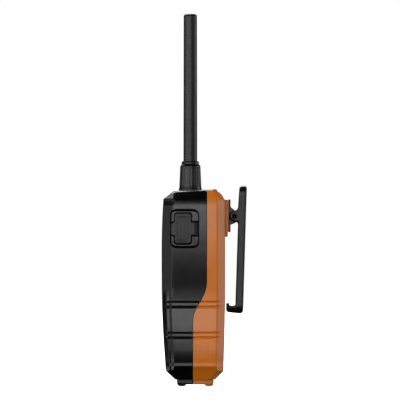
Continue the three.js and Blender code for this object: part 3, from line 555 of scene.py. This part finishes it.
def section_corners(z, inset):
    """Corners of the right half of the horizontal section at a height, drawn inwards by inset. Below the
    grip's waist the front bevel breaks into a ledge."""
    y0 = front_face(z) + front_inset(z) + inset
    y1 = rear_face(z) - rear_inset(z) - inset
    half = half_width(z) - side_inset(z) - inset
    share, rear_share = bevel_shares(z)
    trim = BEVEL_TRIM * inset
    front_wide, front_deep = BEVEL_WIDE * share - trim, bevel_depth(z) * share - trim
    rear_wide, rear_deep = REAR_BEVEL_WIDE * rear_share - trim, REAR_BEVEL_DEEP * rear_share - trim
    ledge = np.clip((LEDGE_TOP - z) / LEDGE_FADE, 0, 1) * np.clip(LEDGE_SKIN - inset, 0, 1)
    ledge = ledge * ledge * (3 - 2 * ledge)
    outer = np.array(BEVEL_OUTER) + ledge * (np.array(LEDGE_OUTER) - np.array(BEVEL_OUTER))
    inner = np.array(BEVEL_INNER) + ledge * (np.array(LEDGE_INNER) - np.array(BEVEL_INNER))
    corners = [
        (half - front_wide, y0, 4.0),
        (half - front_wide * outer[0], y0 + front_deep * outer[1], 1.1),
        (half - front_wide * inner[0], y0 + front_deep * inner[1], 1.0),
        (half, y0 + front_deep, 3.0 - 1.6 * ledge),
        (half, y1 - rear_deep, 2.2),
        (half - rear_wide, y1, 3.0),
    ]
    return [(x, y, max(0.5, (r - inset) * share)) for x, y, r in corners]


def straight(a, b, count):
    t = np.linspace(0, 1, count + 1)[1:-1, None]
    return np.array(a) + (np.array(b) - np.array(a)) * t


def right_half(which, z, inset, seam):
    """Points of the section from the seam on the +X side to the middle of the front or rear face."""
    corners = section_corners(z, inset)
    chain = corners[:4] if which == "front" else corners[:3:-1]
    direction = -1 if which == "front" else 1
    edge, following = chain[-1], chain[-2]
    side = edge[0]
    first_arc = arc_points((side, seam), edge[:2], following[:2], edge[2], ARC)
    room = abs(first_arc[0][1] - seam)
    near = [seam + direction * min(s, room * 0.3) for s in SEAM_EDGE]
    points = [(side, y) for y in near]
    points += [*straight((side, near[-1]), first_arc[0], SIDE), *first_arc]
    previous = first_arc[-1]
    for i in range(len(chain) - 2, -1, -1):
        here, before = chain[i], chain[i + 1]
        after = chain[i - 1] if i else (0, here[1])
        arc = arc_points(before[:2], here[:2], after[:2], here[2], ARC)
        points += [*straight(previous, arc[0], BEVEL), *arc]
        previous = arc[-1]
    middle = (0, previous[1])
    return np.array([*points, *straight(previous, middle, FLAT), middle])


def bump_at(x, y, z):
    """How far the surface stands in from its plain form at the grip grooves."""
    on_side = np.clip((abs(x) - (half_width(z) - RIB_INWARD)) / RIB_INWARD_FADE, 0, 1)
    along = np.clip((y - RIB_FRONT) / RIB_END, 0, 1) * np.clip((RIB_REAR - y) / RIB_END, 0, 1)
    depth = 0.0
    for rib, wide in zip(RIBS, RIB_HALF_WIDTHS):
        off = min(1.0, abs(z - rib) / wide)
        depth += RIB_DEEP * (1 - off ** RIB_POWER)
    return on_side * depth * along


def heights():
    """Levels of the loft, close together wherever the form changes quickly."""
    fine = list(np.arange(LIP_TOP - 2.6, LIP_TOP + 0.8, 0.25))
    for rib, wide in zip(RIBS, RIB_HALF_WIDTHS):
        fine += [rib + wide * d for d in RIB_LEVELS]
    fine += list(np.arange(BOTTOM_Z, 13, 0.8)) + list(np.arange(118.2, TOP_Z, 0.45))
    coarse = [z for z in np.arange(13.5, 118, 1.1) if min(abs(z - f) for f in fine) > 0.45]
    return sorted(fine + coarse)


def lifted(y, z):
    """The top slopes up to the rear: the slope fades in over the chamfer below it."""
    share = np.clip((z - SLOPE_START) / (TOP_Z - SLOPE_START), 0, 1)
    return z + share * TOP_SLOPE * (y - TOP_FRONT)


def skin_row(which, z, inset, plain):
    """One level of a housing's skin, from the seam on the +X side round to the seam on the -X side."""
    half = right_half(which, z, inset, seam_at(z) - SEAM_SIDE[which])
    ring = np.vstack([half, (half * (-1, 1))[-2::-1]])
    row = []
    for index, (x, y) in enumerate(ring):
        push = 0.0 if plain else bump_at(x, y, z)
        column = min(index, len(ring) - 1 - index)
        if not plain and column < len(SEAM_ROUND):
            push += SEAM_ROUND[column]
        row.append((x - math.copysign(push, x) * (abs(x) > 8), y, lifted(y, z)))
    return row


def end_rows(which, row, level, top, plain):
    """Rows that close the skin's bottom or top, from its middle out to the last level's row."""
    ring = np.array(row)
    seam = seam_at(level) - SEAM_SIDE[which]
    leave = TOP_ROUND * math.sin(math.radians(45))
    rows = []
    for share in [1 - distance / CAP_REACH for distance in CAP_DISTANCES]:
        flat = ring.copy()
        flat[:, 0] *= share
        flat[:, 1] = seam + (ring[:, 1] - seam) * share
        if top:
            along = max(0.0, leave - (1 - share) * CAP_REACH)
            rise = 0 if plain else math.sqrt(TOP_ROUND ** 2 - along ** 2) - leave
            flat[:, 2] = level + TOP_SLOPE * (flat[:, 1] - TOP_FRONT) + rise
        else:
            flat[:, 2] = level - BOTTOM_DIP * (1 - share ** 24)
        rows.append([tuple(p) for p in flat])
    return rows


def shell_rows(which, inset, levels, plain):
    """Rows of points of one housing's skin from the bottom's middle to the top's middle."""
    low, high = levels[0] + inset, levels[-1] - inset
    span = [low, *[z for z in levels if low < z < high], high]
    rows = [skin_row(which, z, inset, plain) for z in span]
    bottom = end_rows(which, rows[0], low, False, plain)
    top = end_rows(which, rows[-1], high, True, plain)
    return bottom + rows + top[::-1]


def housing_mesh(which):
    """One housing's thin shell, open towards the other housing."""
    inner_levels = [*np.arange(BOTTOM_Z, TOP_Z, 4.0), TOP_Z]
    mesh = bmesh.new()
    outside = bridge(mesh, shell_rows(which, 0.0, heights(), plain=False), closed=False, caps=False)
    inside = bridge(mesh, shell_rows(which, WALL, inner_levels, plain=True), closed=False, caps=False)
    for column in (0, -1):
        fill_rim(mesh, [row[column] for row in outside], [row[column] for row in inside])
    bmesh.ops.remove_doubles(mesh, verts=mesh.verts, dist=2e-7)
    loose = [e for e in mesh.edges if not e.link_faces]
    bmesh.ops.delete(mesh, geom=loose, context="EDGES")
    return mesh


def fill_rim(mesh, outer, inner):
    """Joins two rows of different lengths along the seam, always across the shorter diagonal."""
    i = j = 0
    while i < len(outer) - 1 or j < len(inner) - 1:
        step_outer = j == len(inner) - 1
        if not step_outer and i < len(outer) - 1:
            ahead = (outer[i + 1].co - inner[j].co).length
            step_outer = ahead <= (outer[i].co - inner[j + 1].co).length
        if step_outer:
            mesh.faces.new((outer[i], outer[i + 1], inner[j]))
            i += 1
        else:
            mesh.faces.new((outer[i], inner[j + 1], inner[j]))
            j += 1


SECTIONS = {}


def side_x(y, z):
    """Half width of the plain body at a point of its side."""
    level = round(z, 2)
    if level not in SECTIONS:
        behind_everything = SEAM_HIGH + 8
        ring = right_half("front", level, 0.0, behind_everything)
        SECTIONS[level] = ring[np.argsort(ring[:, 1])]
    ring = SECTIONS[level]
    return float(np.interp(y, ring[:, 1], ring[:, 0]))


def on_right(y, z, height):
    return (side_x(y, z) + height, y, z)


def on_left(y, z, height):
    """The -X side; y counts backwards there so that outlines stay counterclockwise from outside."""
    return (-side_x(-y, z) - height, -y, z)


def on_front(x, z, height):
    return (x, front_face(z) - height, z)


def on_rear(x, z, height):
    """The +Y side; x counts backwards there."""
    return (-x, rear_face(z) + height, z)


def across(y, z, height):
    """A side profile, extruded along X."""
    return (height, y, z)


def ring_cutter(corners, profile, surface, arc=5, step=2.0, narrow=1.0):
    """A closed band that follows an outline; profile goes round the band's own section. With narrow below 1,
    the band's upright runs are thinner than its level ones."""
    mesh = bmesh.new()
    loops = []
    low, high = min(c[0] for c in corners), max(c[0] for c in corners)
    middle, half = (low + high) / 2, (high - low) / 2
    for inset, h in profile:
        squeeze = (half - narrow * inset) / (half - inset)
        loops.append([surface(middle + (a - middle) * squeeze, b, h)
                      for a, b in outline(corners, inset, arc, step)])
    bridge(mesh, loops, caps=False, wrap=True)
    return mesh


def cylinder(axis, radius, start, end, a, b, segments=40):
    """A round solid along an axis, with its centre at (a, b) of the other two."""
    return turned([(radius, start), (radius, end)], (a, b), segments, axis=axis)


# Front housing
FRAME_GROOVE = box_corners(-22.55, -3.35, 91.0, 116.8, 4.9)
FLAP_FLOOR = 27.4
FLAP_LOW, FLAP_HIGH = 94.0, 113.8
FLAP_FRONT, FLAP_REAR = -19.4, -8.6
TAB_END, STRAP_END, STRAP_SLOPE = -21.95, -4.4, -6.4
FLAP_SHAPE = [
    (FLAP_FRONT, FLAP_LOW, 1.7), (FLAP_REAR, FLAP_LOW, 1.7), (FLAP_REAR, 99.4, 0.3), (STRAP_END, 99.4, 0.4),
    (STRAP_END, 108.0, 0.4), (FLAP_REAR, 108.0, 0.3), (FLAP_REAR, FLAP_HIGH, 1.7),
    (FLAP_FRONT, FLAP_HIGH, 1.7), (FLAP_FRONT, 108.4, 0.4), (TAB_END, 107.0, 0.6),
    (TAB_END, 100.3, 0.6), (FLAP_FRONT, 98.9, 0.4)]
JACK_Y, JACK_HEIGHTS, JACK_HOLE, JACK_PLUG = -13.9, (99.5, 108.5), 2.0, 1.6
BUTTON_FLANGE = 1.2
KEY_FLANGE = 0.9
KEY_NAMES = ("power", "call", "up", "menu", "scan", "down")
KEY_PLACES = {name: cad_place(f"key_{name}") for name in KEY_NAMES}
WINDOW_SHAPE = box_corners(-15, 15, 91, 111, 1.0)
PANE_SHAPE = box_corners(-14.2, 14.2, 91.8, 110.2, 0.8)
SLOT_COUNT, SLOT_PITCH, SLOT_TALL, SLOT_HALF, SLOT_NARROW, SLOT_MIDDLE = 6, 3.6, 1.7, 11.5, 1.2, 39.0
MICROPHONE_HOLE = 0.9
AERIAL_PLACE = cad_middle("antenna_whip")[:2]
AERIAL_HOLE = 4.9
SHELL_CUT = 5  # how deep the openings' cutters go, well past the wall
CLEAR = 2.4  # how far a pocket's cutter stands out, clear of the curved surface


def face_shape(node, radius, rim=0.0):
    """A node's outline on the front or rear face, without its rim. On the rear it has to be even in X."""
    low, high = cad_box(node)
    return box_corners(*np.round((low[0] + rim, high[0] - rim, low[2] + rim, high[2] - rim), 2), radius)


def button_shape(node, radius):
    """The outline of a side button's cap, inside its flange. It counts Y backwards, as on_left does."""
    low, high = cad_box(node)
    rim = BUTTON_FLANGE
    return box_corners(*np.round((-high[1] + rim, -low[1] - rim, low[2] + rim, high[2] - rim), 2), radius)


LENS_SHAPE = face_shape("display_lens", 2.3)
DOOR_SHAPE = face_shape("battery_door", 3.0)
PTT_SHAPE = button_shape("ptt_button", 3.5)
SIDE_KEY_SHAPE = button_shape("side_key", 3.0)
KEY_SHAPES = {name: face_shape(f"key_{name}", 1.6, KEY_FLANGE) for name in KEY_NAMES}


def pocket(corners, depth, surface, gap=0.25, mouth=0.3, foot=None):
    """A cutter for an opening with a rounded mouth. The gap may narrow to foot at its floor."""
    wide = -gap - mouth * 1.6
    profile = [(-(gap if foot is None else foot), -depth), (-gap, -mouth),
               (-gap - mouth * 0.3, -mouth * 0.3), (-gap - mouth, 0), (wide, 0.6), (wide, CLEAR)]
    return plate(corners, profile, surface)


def flap_pocket_place(y, z, height):
    x, y, z = on_right(y, z, height)
    return (FLAP_FLOOR if height < -1 else x, y, z)


def two_ended(ends):
    """The profile of a bar that is the same at both ends, from the points of its -X end."""
    return ends + [(inset, -place) for inset, place in ends[::-1]]


def foot_block(which):
    """The block under one housing, and its foot rib."""
    def bar(corners, half):
        ends = [(1.0, -half), (0.35, -half + 0.3), (0.1, -half + 0.65), (0, -half + 1.1)]
        return plate(corners, two_ended(ends), across, arc=7)

    if which == "front":
        block = [(-7.405, 1.2, 0.15), (-7.405, 6.2, 0.1), (-18.0, 6.2, 0.1), (-18.0, 1.2, 2.0)]
        rib = [(-11.75, 0.0, 2.4), (-11.75, 5.4, 1.0), (-18.05, 5.4, 1.0), (-18.05, 0.0, 2.9)]
    else:
        block = [(6.0, 1.2, 2.0), (6.0, 6.2, 0.1), (-7.395, 6.2, 0.1), (-7.395, 1.2, 0.15)]
        rib = [(6.25, 0.0, 2.9), (6.25, 5.4, 1.0), (-0.05, 5.4, 1.0), (-0.05, 0.0, 2.4)]
    return bar(block, 18.5), bar(rib, 16.0)


def speaker_slots():
    slots = []
    for i in range(SLOT_COUNT):
        level = i - (SLOT_COUNT - 1) / 2
        z = SLOT_MIDDLE + level * SLOT_PITCH
        half = SLOT_HALF - abs(level) * SLOT_NARROW
        shape = box_corners(-half, half, z - SLOT_TALL / 2, z + SLOT_TALL / 2, SLOT_TALL / 2 - 0.02)
        slots.append(pocket(shape, SHELL_CUT, on_front, gap=0, mouth=0.28))
    return slots


def jack_well():
    """The block behind the jack cover, which its pocket is cut into."""
    corners = [(26.0, -22.0), (28.2, -19.5), (28.2, -1.2), (24.4, -1.2), (24.4, -22.0)]
    return plate([(x, y, 0.2) for x, y in corners], [(0, 89.0), (0, 118.4)], lambda x, y, z: (x, y, z),
                 arc=1, step=40)


def lens_bed():
    """The block behind the display window."""
    return plate(box_corners(-19, 19, 86.8, 115.2, 1), [(0, -27.3), (0, -24.9)],
                 lambda x, z, y: (x, y, z), arc=1, step=40)


def antenna_collar():
    """The low round seat that the aerial screws down onto."""
    return turned([(8.6, 124.5), (8.6, 127.6), (8.3, 128.4), (7.9, 128.9), (7.4, 129.0)], AERIAL_PLACE)


def front_openings():
    """Cutters for the holes in the front housing, apart from the jack cover's pocket and the lens's."""
    return [
        *[cylinder("x", JACK_HOLE, 20, 29, JACK_Y, z) for z in JACK_HEIGHTS],
        pocket(PTT_SHAPE, SHELL_CUT, on_left),
        pocket(SIDE_KEY_SHAPE, SHELL_CUT, on_left),
        plate(WINDOW_SHAPE, [(0, -SHELL_CUT), (0, -1.0)], on_front),
        cylinder("y", MICROPHONE_HOLE, -30, -23, *cad_place("microphone")),
        *speaker_slots(),
        *[pocket(KEY_SHAPES[name], SHELL_CUT, on_front) for name in KEY_NAMES],
        cylinder("z", AERIAL_HOLE, 118, 132, *AERIAL_PLACE),
    ]


def make_front_shell():
    shell = finish_piece("front_shell", housing_mesh("front"), BLACK, "housing", ["front_housing"])
    for addition in (jack_well(), lens_bed(), *foot_block("front"), antenna_collar()):
        cut(shell, addition, operation="UNION")
    groove = [(-0.25, 0.3), (-0.12, 0.0), (0.05, -0.15), (0.42, -1.0), (0.78, -1.35), (1.14, -1.0),
              (1.5, -0.15), (1.66, 0.0), (1.75, 0.3)]
    cut(shell, ring_cutter(FRAME_GROOVE, groove, on_right, arc=8, narrow=0.42))
    cut(shell, pocket(FLAP_SHAPE, 2, flap_pocket_place, gap=0.6, mouth=0.2, foot=0.06))
    cut(shell, *front_openings())
    cut(shell, pocket(LENS_SHAPE, 1.55, on_front, gap=0.12, mouth=0.3))


# Rear housing
DOOR_SCREWS = [cad_place(f"door_screw_{i}") for i in (1, 2, 3, 4)]
POST_SCREWS = [cad_place(f"housing_screw_{i}") for i in (3, 4, 1, 2)]
BRACKET_SCREWS = [cad_middle(f"bracket_screw_{i}")[2] for i in (1, 2)]


def boss():
    """The raised pad that the belt clip's bracket is screwed to."""
    corners = [(10, 98.4, 0.1), (15.4, 98.4, 0.5), (15.5, 101.5, 0.2), (16.1, 101.7, 0.2),
               (16.1, 122.9, 0.25), (10, 122.9, 0.1)]
    return plate(corners, two_ended([(0.5, -12), (0.15, -11.85), (0.0, -11.5)]), across)


def make_rear_shell():
    shell = finish_piece("rear_shell", housing_mesh("rear"), ORANGE, "housing", ["rear_housing"])
    for addition in (boss(), *foot_block("rear")):
        cut(shell, addition, operation="UNION")
    holes = [cylinder("y", 2.5, 11, 20, x, z) for x, z in POST_SCREWS]
    holes += [cylinder("y", 1.3, 14.2, 20, 0, z) for z in BRACKET_SCREWS]
    cut(shell, pocket(DOOR_SHAPE, 1.7, on_rear, gap=0.14, mouth=0.22), *holes)


def make_battery_door():
    face = [(0.1, -1.6), (0.0, -1.4), (0.0, -0.3), (0.1, -0.1), (0.3, 0.0), (2.6, 0.0), (3.0, -0.25),
            (16.0, -0.25)]
    door = finish_piece("battery_door_cover", plate(DOOR_SHAPE, face, on_rear, arc=6, cap_step=3.0), ORANGE,
                        "housing", ["battery_door"])
    cut(door, *[cylinder("y", 2.2, 12.0, 20, x, z) for x, z in DOOR_SCREWS])


# Jack cover, buttons and keys
def flap_place(y, z, height):
    """The cover follows the side; its strap slopes down to the anchor behind it."""
    x, y, z = on_right(y, z, height)
    if height < -1:
        return (FLAP_FLOOR + 0.3, y, z)
    along = max(0.0, (y - STRAP_SLOPE) / (STRAP_END - STRAP_SLOPE))
    return (x - 0.95 * along ** 1.6, y, z)


def make_jack_cover():
    face = [(0.0, -2), (0.0, -0.35), (0.06, -0.12), (0.22, 0.0), (0.42, 0.04)]
    cover = finish_piece("jack_cover_flap", plate(FLAP_SHAPE, face, flap_place, step=0.8, cap_step=0.9),
                         COVER, "jack_flap", ["jack_cover"])
    outer_ring = [(-0.2, 0.4), (0.0, 0.0), (0.5, -0.14), (1.0, 0.0), (1.2, 0.4)]
    cut(cover, ring_cutter(box_corners(-18.0, -9.8, 95.6, 112.1, 1.3), outer_ring, on_right, step=1.0))
    inner_ring = [(-0.2, 0.4), (0.0, 0.0), (0.4, -0.07), (0.8, 0.0), (1.0, 0.4)]
    cut(cover, ring_cutter(box_corners(-15.9, -11.9, 98.0, 109.6, 0.9), inner_ring, on_right, step=1.0))
    plugs = [cylinder("x", JACK_PLUG, 26.2, 28.2, JACK_Y, z) for z in JACK_HEIGHTS]
    cut(cover, *plugs, operation="UNION")


def make_side_button(name, node, body, corners):
    """A rubber button that stands a little proud of the -X side, on an inner flange, with level grooves."""
    face = cad_box(node)[0][0]

    def place(y, z, height):
        if height < -2:
            return (height + 2 - 24.1, -y, z)
        return (max(face, on_left(y, z, height)[0]), -y, z)

    rim = BUTTON_FLANGE
    profile = [(-rim, -4.0), (-rim, -4.8), (0.05, -4.8), (0.0, -0.6), (0.0, 0.15), (0.15, 0.38), (0.5, 0.5),
               (1.2, 0.5), (1.6, 0.3), (2.2, 0.24), (2.9, 0.24)]
    button = finish_piece(name, plate(corners, profile, place, cap_step=1.2), KEY_RUBBER, body, [node])
    pitch = 2.2
    low, high = corners[0][1] + 5, corners[-1][1] - 5
    lowest = (low + high) / 2 - pitch * int((high - low) / (2 * pitch))
    for z in np.arange(lowest, high + 0.1, pitch):
        cut(button, cylinder("y", 0.75, corners[0][0] + 1.8, corners[1][0] - 1.8, face - 0.45, z, 20))


def make_key(name):
    """A key's cap, with the flange that holds it behind the front."""
    def place(a, b, height):
        if height < -2:
            return (a, -24.6 - (height + 4), b)
        return (a, front_face(b) - height, b)

    profile = [(-KEY_FLANGE, -4.0), (-KEY_FLANGE, -3.3), (0.0, -3.3), (0.0, -0.7), (0.08, -0.4), (0.3, -0.24),
               (0.7, -0.19), (2.6, -0.26)]
    finish_piece(f"key_{name}_cap", plate(KEY_SHAPES[name], profile, place), KEY_RUBBER, f"{name}_key",
                 [f"key_{name}"])


MARK_FOOT, MARK_EDGE, MARK_TOP = -0.45, -0.16, -0.14
MARK_LINE = 0.34


def mark_plate(points):
    corners = [(a, b, 0.1) for a, b in points]
    return plate(corners, [(0.0, MARK_FOOT), (0.0, MARK_EDGE), (0.03, MARK_TOP)], on_front, arc=2)


def mark_bar(x, z, half_wide, half_tall):
    return mark_plate([(x - half_wide, z - half_tall), (x + half_wide, z - half_tall),
                       (x + half_wide, z + half_tall), (x - half_wide, z + half_tall)])


def mark_ring(x, z, half):
    section = [(0.0, MARK_FOOT), (0.0, MARK_TOP), (MARK_LINE, MARK_TOP), (MARK_LINE, MARK_FOOT)]
    return ring_cutter(box_corners(x - half, x + half, z - half, z + half, half - 0.02), section, on_front)


def mark_solids(name, x, z):
    """A generic sign: a ring with a stem, a ring round a square, an arrowhead, three bars or a diamond."""
    if name == "power":
        return [mark_ring(x, z - 0.1, 1.2), mark_bar(x, z + 0.85, 0.18, 0.85)]
    if name == "call":
        return [mark_ring(x, z, 1.3), mark_bar(x, z, 0.45, 0.45)]
    if name == "menu":
        return [mark_bar(x, z + rise, 1.4, MARK_LINE / 2) for rise in (-0.9, 0.0, 0.9)]
    points = {
        "up": [(-1.5, -0.9), (1.5, -0.9), (0, 1.1)],
        "down": [(0, -1.1), (1.5, 0.9), (-1.5, 0.9)],
        "scan": [(0, -1.3), (1.3, 0), (0, 1.3), (-1.3, 0)],
    }[name]
    return [mark_plate([(x + a, z + b) for a, b in points])]


def make_mark(name):
    """The sign stands a little above its key."""
    mesh = join(bmesh.new(), *mark_solids(name, *KEY_PLACES[name]))
    finish_piece(f"key_{name}_mark", mesh, MARK, f"{name}_key")


def make_lens():
    """The window, open in its middle, and the display's pane in that opening."""
    face = [(0.15, -1.5), (0.0, -1.4), (0.0, -0.4), (0.12, -0.15), (0.4, -0.08), (9.0, -0.08)]
    lens = finish_piece("lens_window", plate(LENS_SHAPE, face, on_front, cap_step=2.5), LENS, "housing",
                        ["display_lens"])
    cut(lens, plate(PANE_SHAPE, [(0.0, -0.6), (0.0, 0.4)], on_front, cap_step=2.5, both=True))
    pane = [(0.02, -1.2), (0.02, -0.2), (0.1, -0.13), (6.0, -0.13)]
    finish_piece("display_pane", plate(PANE_SHAPE, pane, on_front, cap_step=2.5), PANE, "housing")


# Belt clip
PIVOT_PLACE = cad_middle("clip_pin")[1:]
ARM_HALF = cad_box("clip_arm")[1][0]
ARM_HIGH, ARM_LOW, ARM_CORNER = cad_box("clip_arm")[1][2], 47.6, 5.0
ARM_BACK, ARM_LEAN, ARM_LEAN_START = 25.9, 0.0298, 57
HOLLOW_LOW, HOLLOW_HIGH, HOLLOW_SKIN = 56.5, 128.6, 1.7
BRACKET_HALF = cad_box("clip_bracket")[1][0]
EAR_INNER = 6.4


def arm_outer(z):
    return ARM_BACK + ARM_LEAN * (z - ARM_LEAN_START)


def round_the_pivot(radius, start, step):
    """Three corners of an outline that runs round the pivot, each rounded with the same radius."""
    corners = []
    for i in range(3):
        angle = start + step * (i + 0.5)
        reach = radius / math.cos(step / 2)
        corners.append((PIVOT_PLACE[0] + reach * math.cos(angle), PIVOT_PLACE[1] + reach * math.sin(angle),
                        radius))
    return corners


def arm_shape():
    hub = round_the_pivot(3.6, math.radians(110), math.radians(56.3))
    return [(arm_outer(ARM_HIGH), ARM_HIGH, 2.0), (23.2, ARM_HIGH, 2.6), (22.2, 116.5, 2.3), *hub,
            (22.3, 108.1, 2.3), (20.45, 52.9, 1.3), (16.6, 52.9, 1.0), (16.35, 54.75, 0.75),
            (14.5, 54.75, 0.85), (14.45, 48.8, 2.0), (arm_outer(ARM_LOW), ARM_LOW, 2.6)]


def arm_place(y, z, height):
    """The arm's side profile across its width, with its four corners rounded as seen from behind."""
    over = max(0.0, z - (ARM_HIGH - ARM_CORNER), (ARM_LOW + ARM_CORNER) - z)
    drop = ARM_CORNER - math.sqrt(max(0.0, ARM_CORNER ** 2 - min(over, ARM_CORNER) ** 2))
    return (height * (ARM_HALF - 0.8 * drop) / ARM_HALF, y, z)


def arm_grip(z):
    """A cutter for one of the level grooves behind the arm's thumb end."""
    floor, back, half = arm_outer(z) - 0.45, 40, 0.5
    corners = [(floor, z - half, 0.2), (back, z - half, 0.1), (back, z + half, 0.1), (floor, z + half, 0.2)]
    return plate(corners, [(0, -6.5), (0, 6.5)], across)


def make_clip_arm():
    profile = two_ended([(1.15, -10), (0.6, -9.86), (0.25, -9.6), (0.06, -9.2), (0.0, -8.75)])
    arm = finish_piece("clip_arm_moulding", plate(arm_shape(), profile, arm_place, 8, 0.8, 1.5, both=True),
                       CLIP, "clip", ["clip_arm"])
    hollow = [(10, HOLLOW_LOW, 0.5), (arm_outer(HOLLOW_LOW) - HOLLOW_SKIN, HOLLOW_LOW, 1.0),
              (arm_outer(HOLLOW_HIGH) - HOLLOW_SKIN, HOLLOW_HIGH, 1.0), (10, HOLLOW_HIGH, 0.5)]
    cut(arm, plate(hollow, [(0, -8.5), (0, 8.5)], across))
    for side in (-1, 1):
        well = [(0.58, 8.0), (0.58, 8.75), (1.75, 10.0), (1.9, 10.4)]
        cut(arm, turned([(r, side * x) for r, x in well], PIVOT_PLACE, 48, axis="x"))
    cut(arm, *[arm_grip(z) for z in np.arange(119.5, 129, 2.2)])


def make_bracket():
    face = [(0.15, 16.13), (0.04, 16.2), (0, 16.35), (0, 17.05), (0.08, 17.25), (0.3, 17.33)]
    board = plate(box_corners(-BRACKET_HALF, BRACKET_HALF, 101.5, 123.1, 1.2), face,
                  lambda x, z, y: (-x, y, z))
    bracket = finish_piece("clip_bracket_moulding", board, CLIP, "housing", ["clip_bracket"])
    hub = round_the_pivot(3.0, -1.1, math.radians(53))
    ear = [(16.65, 106.0, 0.1), (20.4, 107.5, 0.5), *hub, (18.0, 117.6, 1.0), (16.65, 119.2, 0.1)]
    for side in (-1, 1):
        low, high = sorted((EAR_INNER * side, BRACKET_HALF * side))
        ends = [(0.25, low), (0.0, low + 0.25), (0.0, high - 0.25), (0.25, high)]
        cut(bracket, plate(ear, ends, across, arc=7), operation="UNION")
    cut(bracket, cylinder("x", 1.04, -12, 12, *PIVOT_PLACE))
    for z in BRACKET_SCREWS:
        seat = [(1.3, 10), (1.3, 16.4), (2.25, 16.45), (2.25, 20)]
        cut(bracket, turned(seat, (0, z), 40, axis="y"))


def make_hinge_pin():
    """Its shoulders stop inside the arm's cheeks and only its thin ends show."""
    half = [(1.0, 0.0), (1.0, 8.2), (0.5, 8.3), (0.5, 9.35), (0.38, 9.5), (0.1, 9.55)]
    profile = [(r, -x) for r, x in half[:0:-1]] + half
    finish_piece("hinge_pin", turned(profile, PIVOT_PLACE, 32, axis="x"), BLACK_STEEL, "housing",
                 ["clip_pin"])


def make_bracket_screws():
    """Low heads that sit flush in the plate, each with a six-sided socket."""
    profile = [(0.8, 11.5), (1.0, 11.8), (1.0, 16.5), (2.05, 16.52), (2.1, 16.65), (2.1, 17.1), (1.9, 17.3),
               (0.1, 17.33)]
    for index, z in enumerate(BRACKET_SCREWS, 1):
        name = f"bracket_screw_{index}"
        screw = finish_piece(f"{name}_flush", turned(profile, (0, z), 40, axis="y"), BLACK_STEEL, "housing",
                             [name])
        cut(screw, cylinder("y", 0.9, 16.8, 18, 0, z, 6))


# Aerial
WHIP_RADIUS, TIP_RADIUS, TAPER_START, TAPER_LONG = 4.57, 4.42, 150, 90
WHIP_LOW, WHIP_HIGH = cad_box("antenna_whip")[0][2], cad_box("antenna_whip")[1][2]
FLUTES, FLUTE_DEEP = 18, 0.03


def rounded_tip(radius, top, fillet, steps=8):
    points = []
    for i in range(steps + 1):
        angle = math.pi / 2 * i / steps
        points.append((radius - fillet + fillet * math.cos(angle), top - fillet + fillet * math.sin(angle)))
    return points


def whip_radius(z):
    """Even up to the taper's start, and a little thinner above it."""
    return WHIP_RADIUS - (WHIP_RADIUS - TIP_RADIUS) * (z - TAPER_START) / TAPER_LONG * (z > TAPER_START)


def make_whip():
    profile = [(WHIP_RADIUS, WHIP_LOW)] + [(whip_radius(z), z) for z in np.arange(134, 240, 4.0)]
    profile += rounded_tip(TIP_RADIUS, WHIP_HIGH - 0.2, 1.5) + [(1.4, WHIP_HIGH - 0.05), (0.5, WHIP_HIGH)]
    finish_piece("aerial_whip", turned(profile, AERIAL_PLACE), AERIAL_RUBBER, "antenna", ["antenna_whip"])


def flutes(angle, z):
    """Scales the boot's radius: shallow upright flutes that fade out at both ends."""
    share = np.clip((z - 131.5) / 1.5, 0, 1) * np.clip((144.6 - z) / 1.2, 0, 1)
    return 1 - FLUTE_DEEP * share * (0.5 + 0.5 * math.cos(FLUTES * angle)) ** 2


def make_boot():
    foot = [(7.4, 129.02), (7.65, 129.1), (7.7, 129.4), (7.6, 130.0), (7.4, 130.8)]
    middle = [(7.3 - 0.6 * (z - 131) / 14, z) for z in np.arange(131.6, 144.9, 0.6)]
    neck = [(6.67, 145.0), (6.45, 145.5), (5.9, 146.1), (5.75, 146.7), (5.7, 147.4), (5.65, 148.0),
            (5.4, 148.35), (5.1, 148.4)]
    boot = finish_piece("aerial_boot", turned(foot + middle + neck, AERIAL_PLACE, 144, flutes), AERIAL_RUBBER,
                        "antenna", ["antenna_boot"])
    cut(boot, cylinder("z", 3.5, 128, 134, *AERIAL_PLACE), cylinder("z", 4.75, 132.6, 150, *AERIAL_PLACE, 64))


def paint(material, *nodes):
    """Gives CAD pieces that show as they are their finished material."""
    for node in nodes:
        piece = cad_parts[node]
        piece.data.materials.clear()
        piece.data.materials.append(material)


def paint_frame():
    paint(COVER, "housing_gasket", "door_gasket", "keypad_mat", "jack_cover_anchor")
    paint(BLACK, "jack_block", "battery_tray", "speaker")
    paint(CLOTH, "speaker_mesh", "microphone")
    paint(SWITCH, "ptt_switch", "side_key_switch")
    paint(BOARD, "main_board")
    paint(CELL, "battery_pack")
    paint(PANEL, "display_module")
    paint(STEEL, "rf_shield", "clip_spring")
    paint(STEEL, *[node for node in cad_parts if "screw" in node and "bracket" not in node])
    paint(BRASS, "battery_contact_plus", "battery_contact_minus", "antenna_socket", "antenna_stud")


def weigh_normals():
    """Large faces keep their own shading beside their rounded edges."""
    for piece in PIECES:
        piece.modifiers.new("weighted", "WEIGHTED_NORMAL").keep_sharp = True


make_camera()
make_lights()
make_stage()
paint_frame()
make_front_shell()
make_rear_shell()
make_battery_door()
make_jack_cover()
make_side_button("ptt_cap", "ptt_button", "ptt", PTT_SHAPE)
make_side_button("side_key_cap", "side_key", "side_button", SIDE_KEY_SHAPE)
for key_name in KEY_NAMES:
    make_key(key_name)
    make_mark(key_name)
make_lens()
make_clip_arm()
make_bracket()
make_hinge_pin()
make_bracket_screws()
make_whip()
make_boot()
weigh_normals()
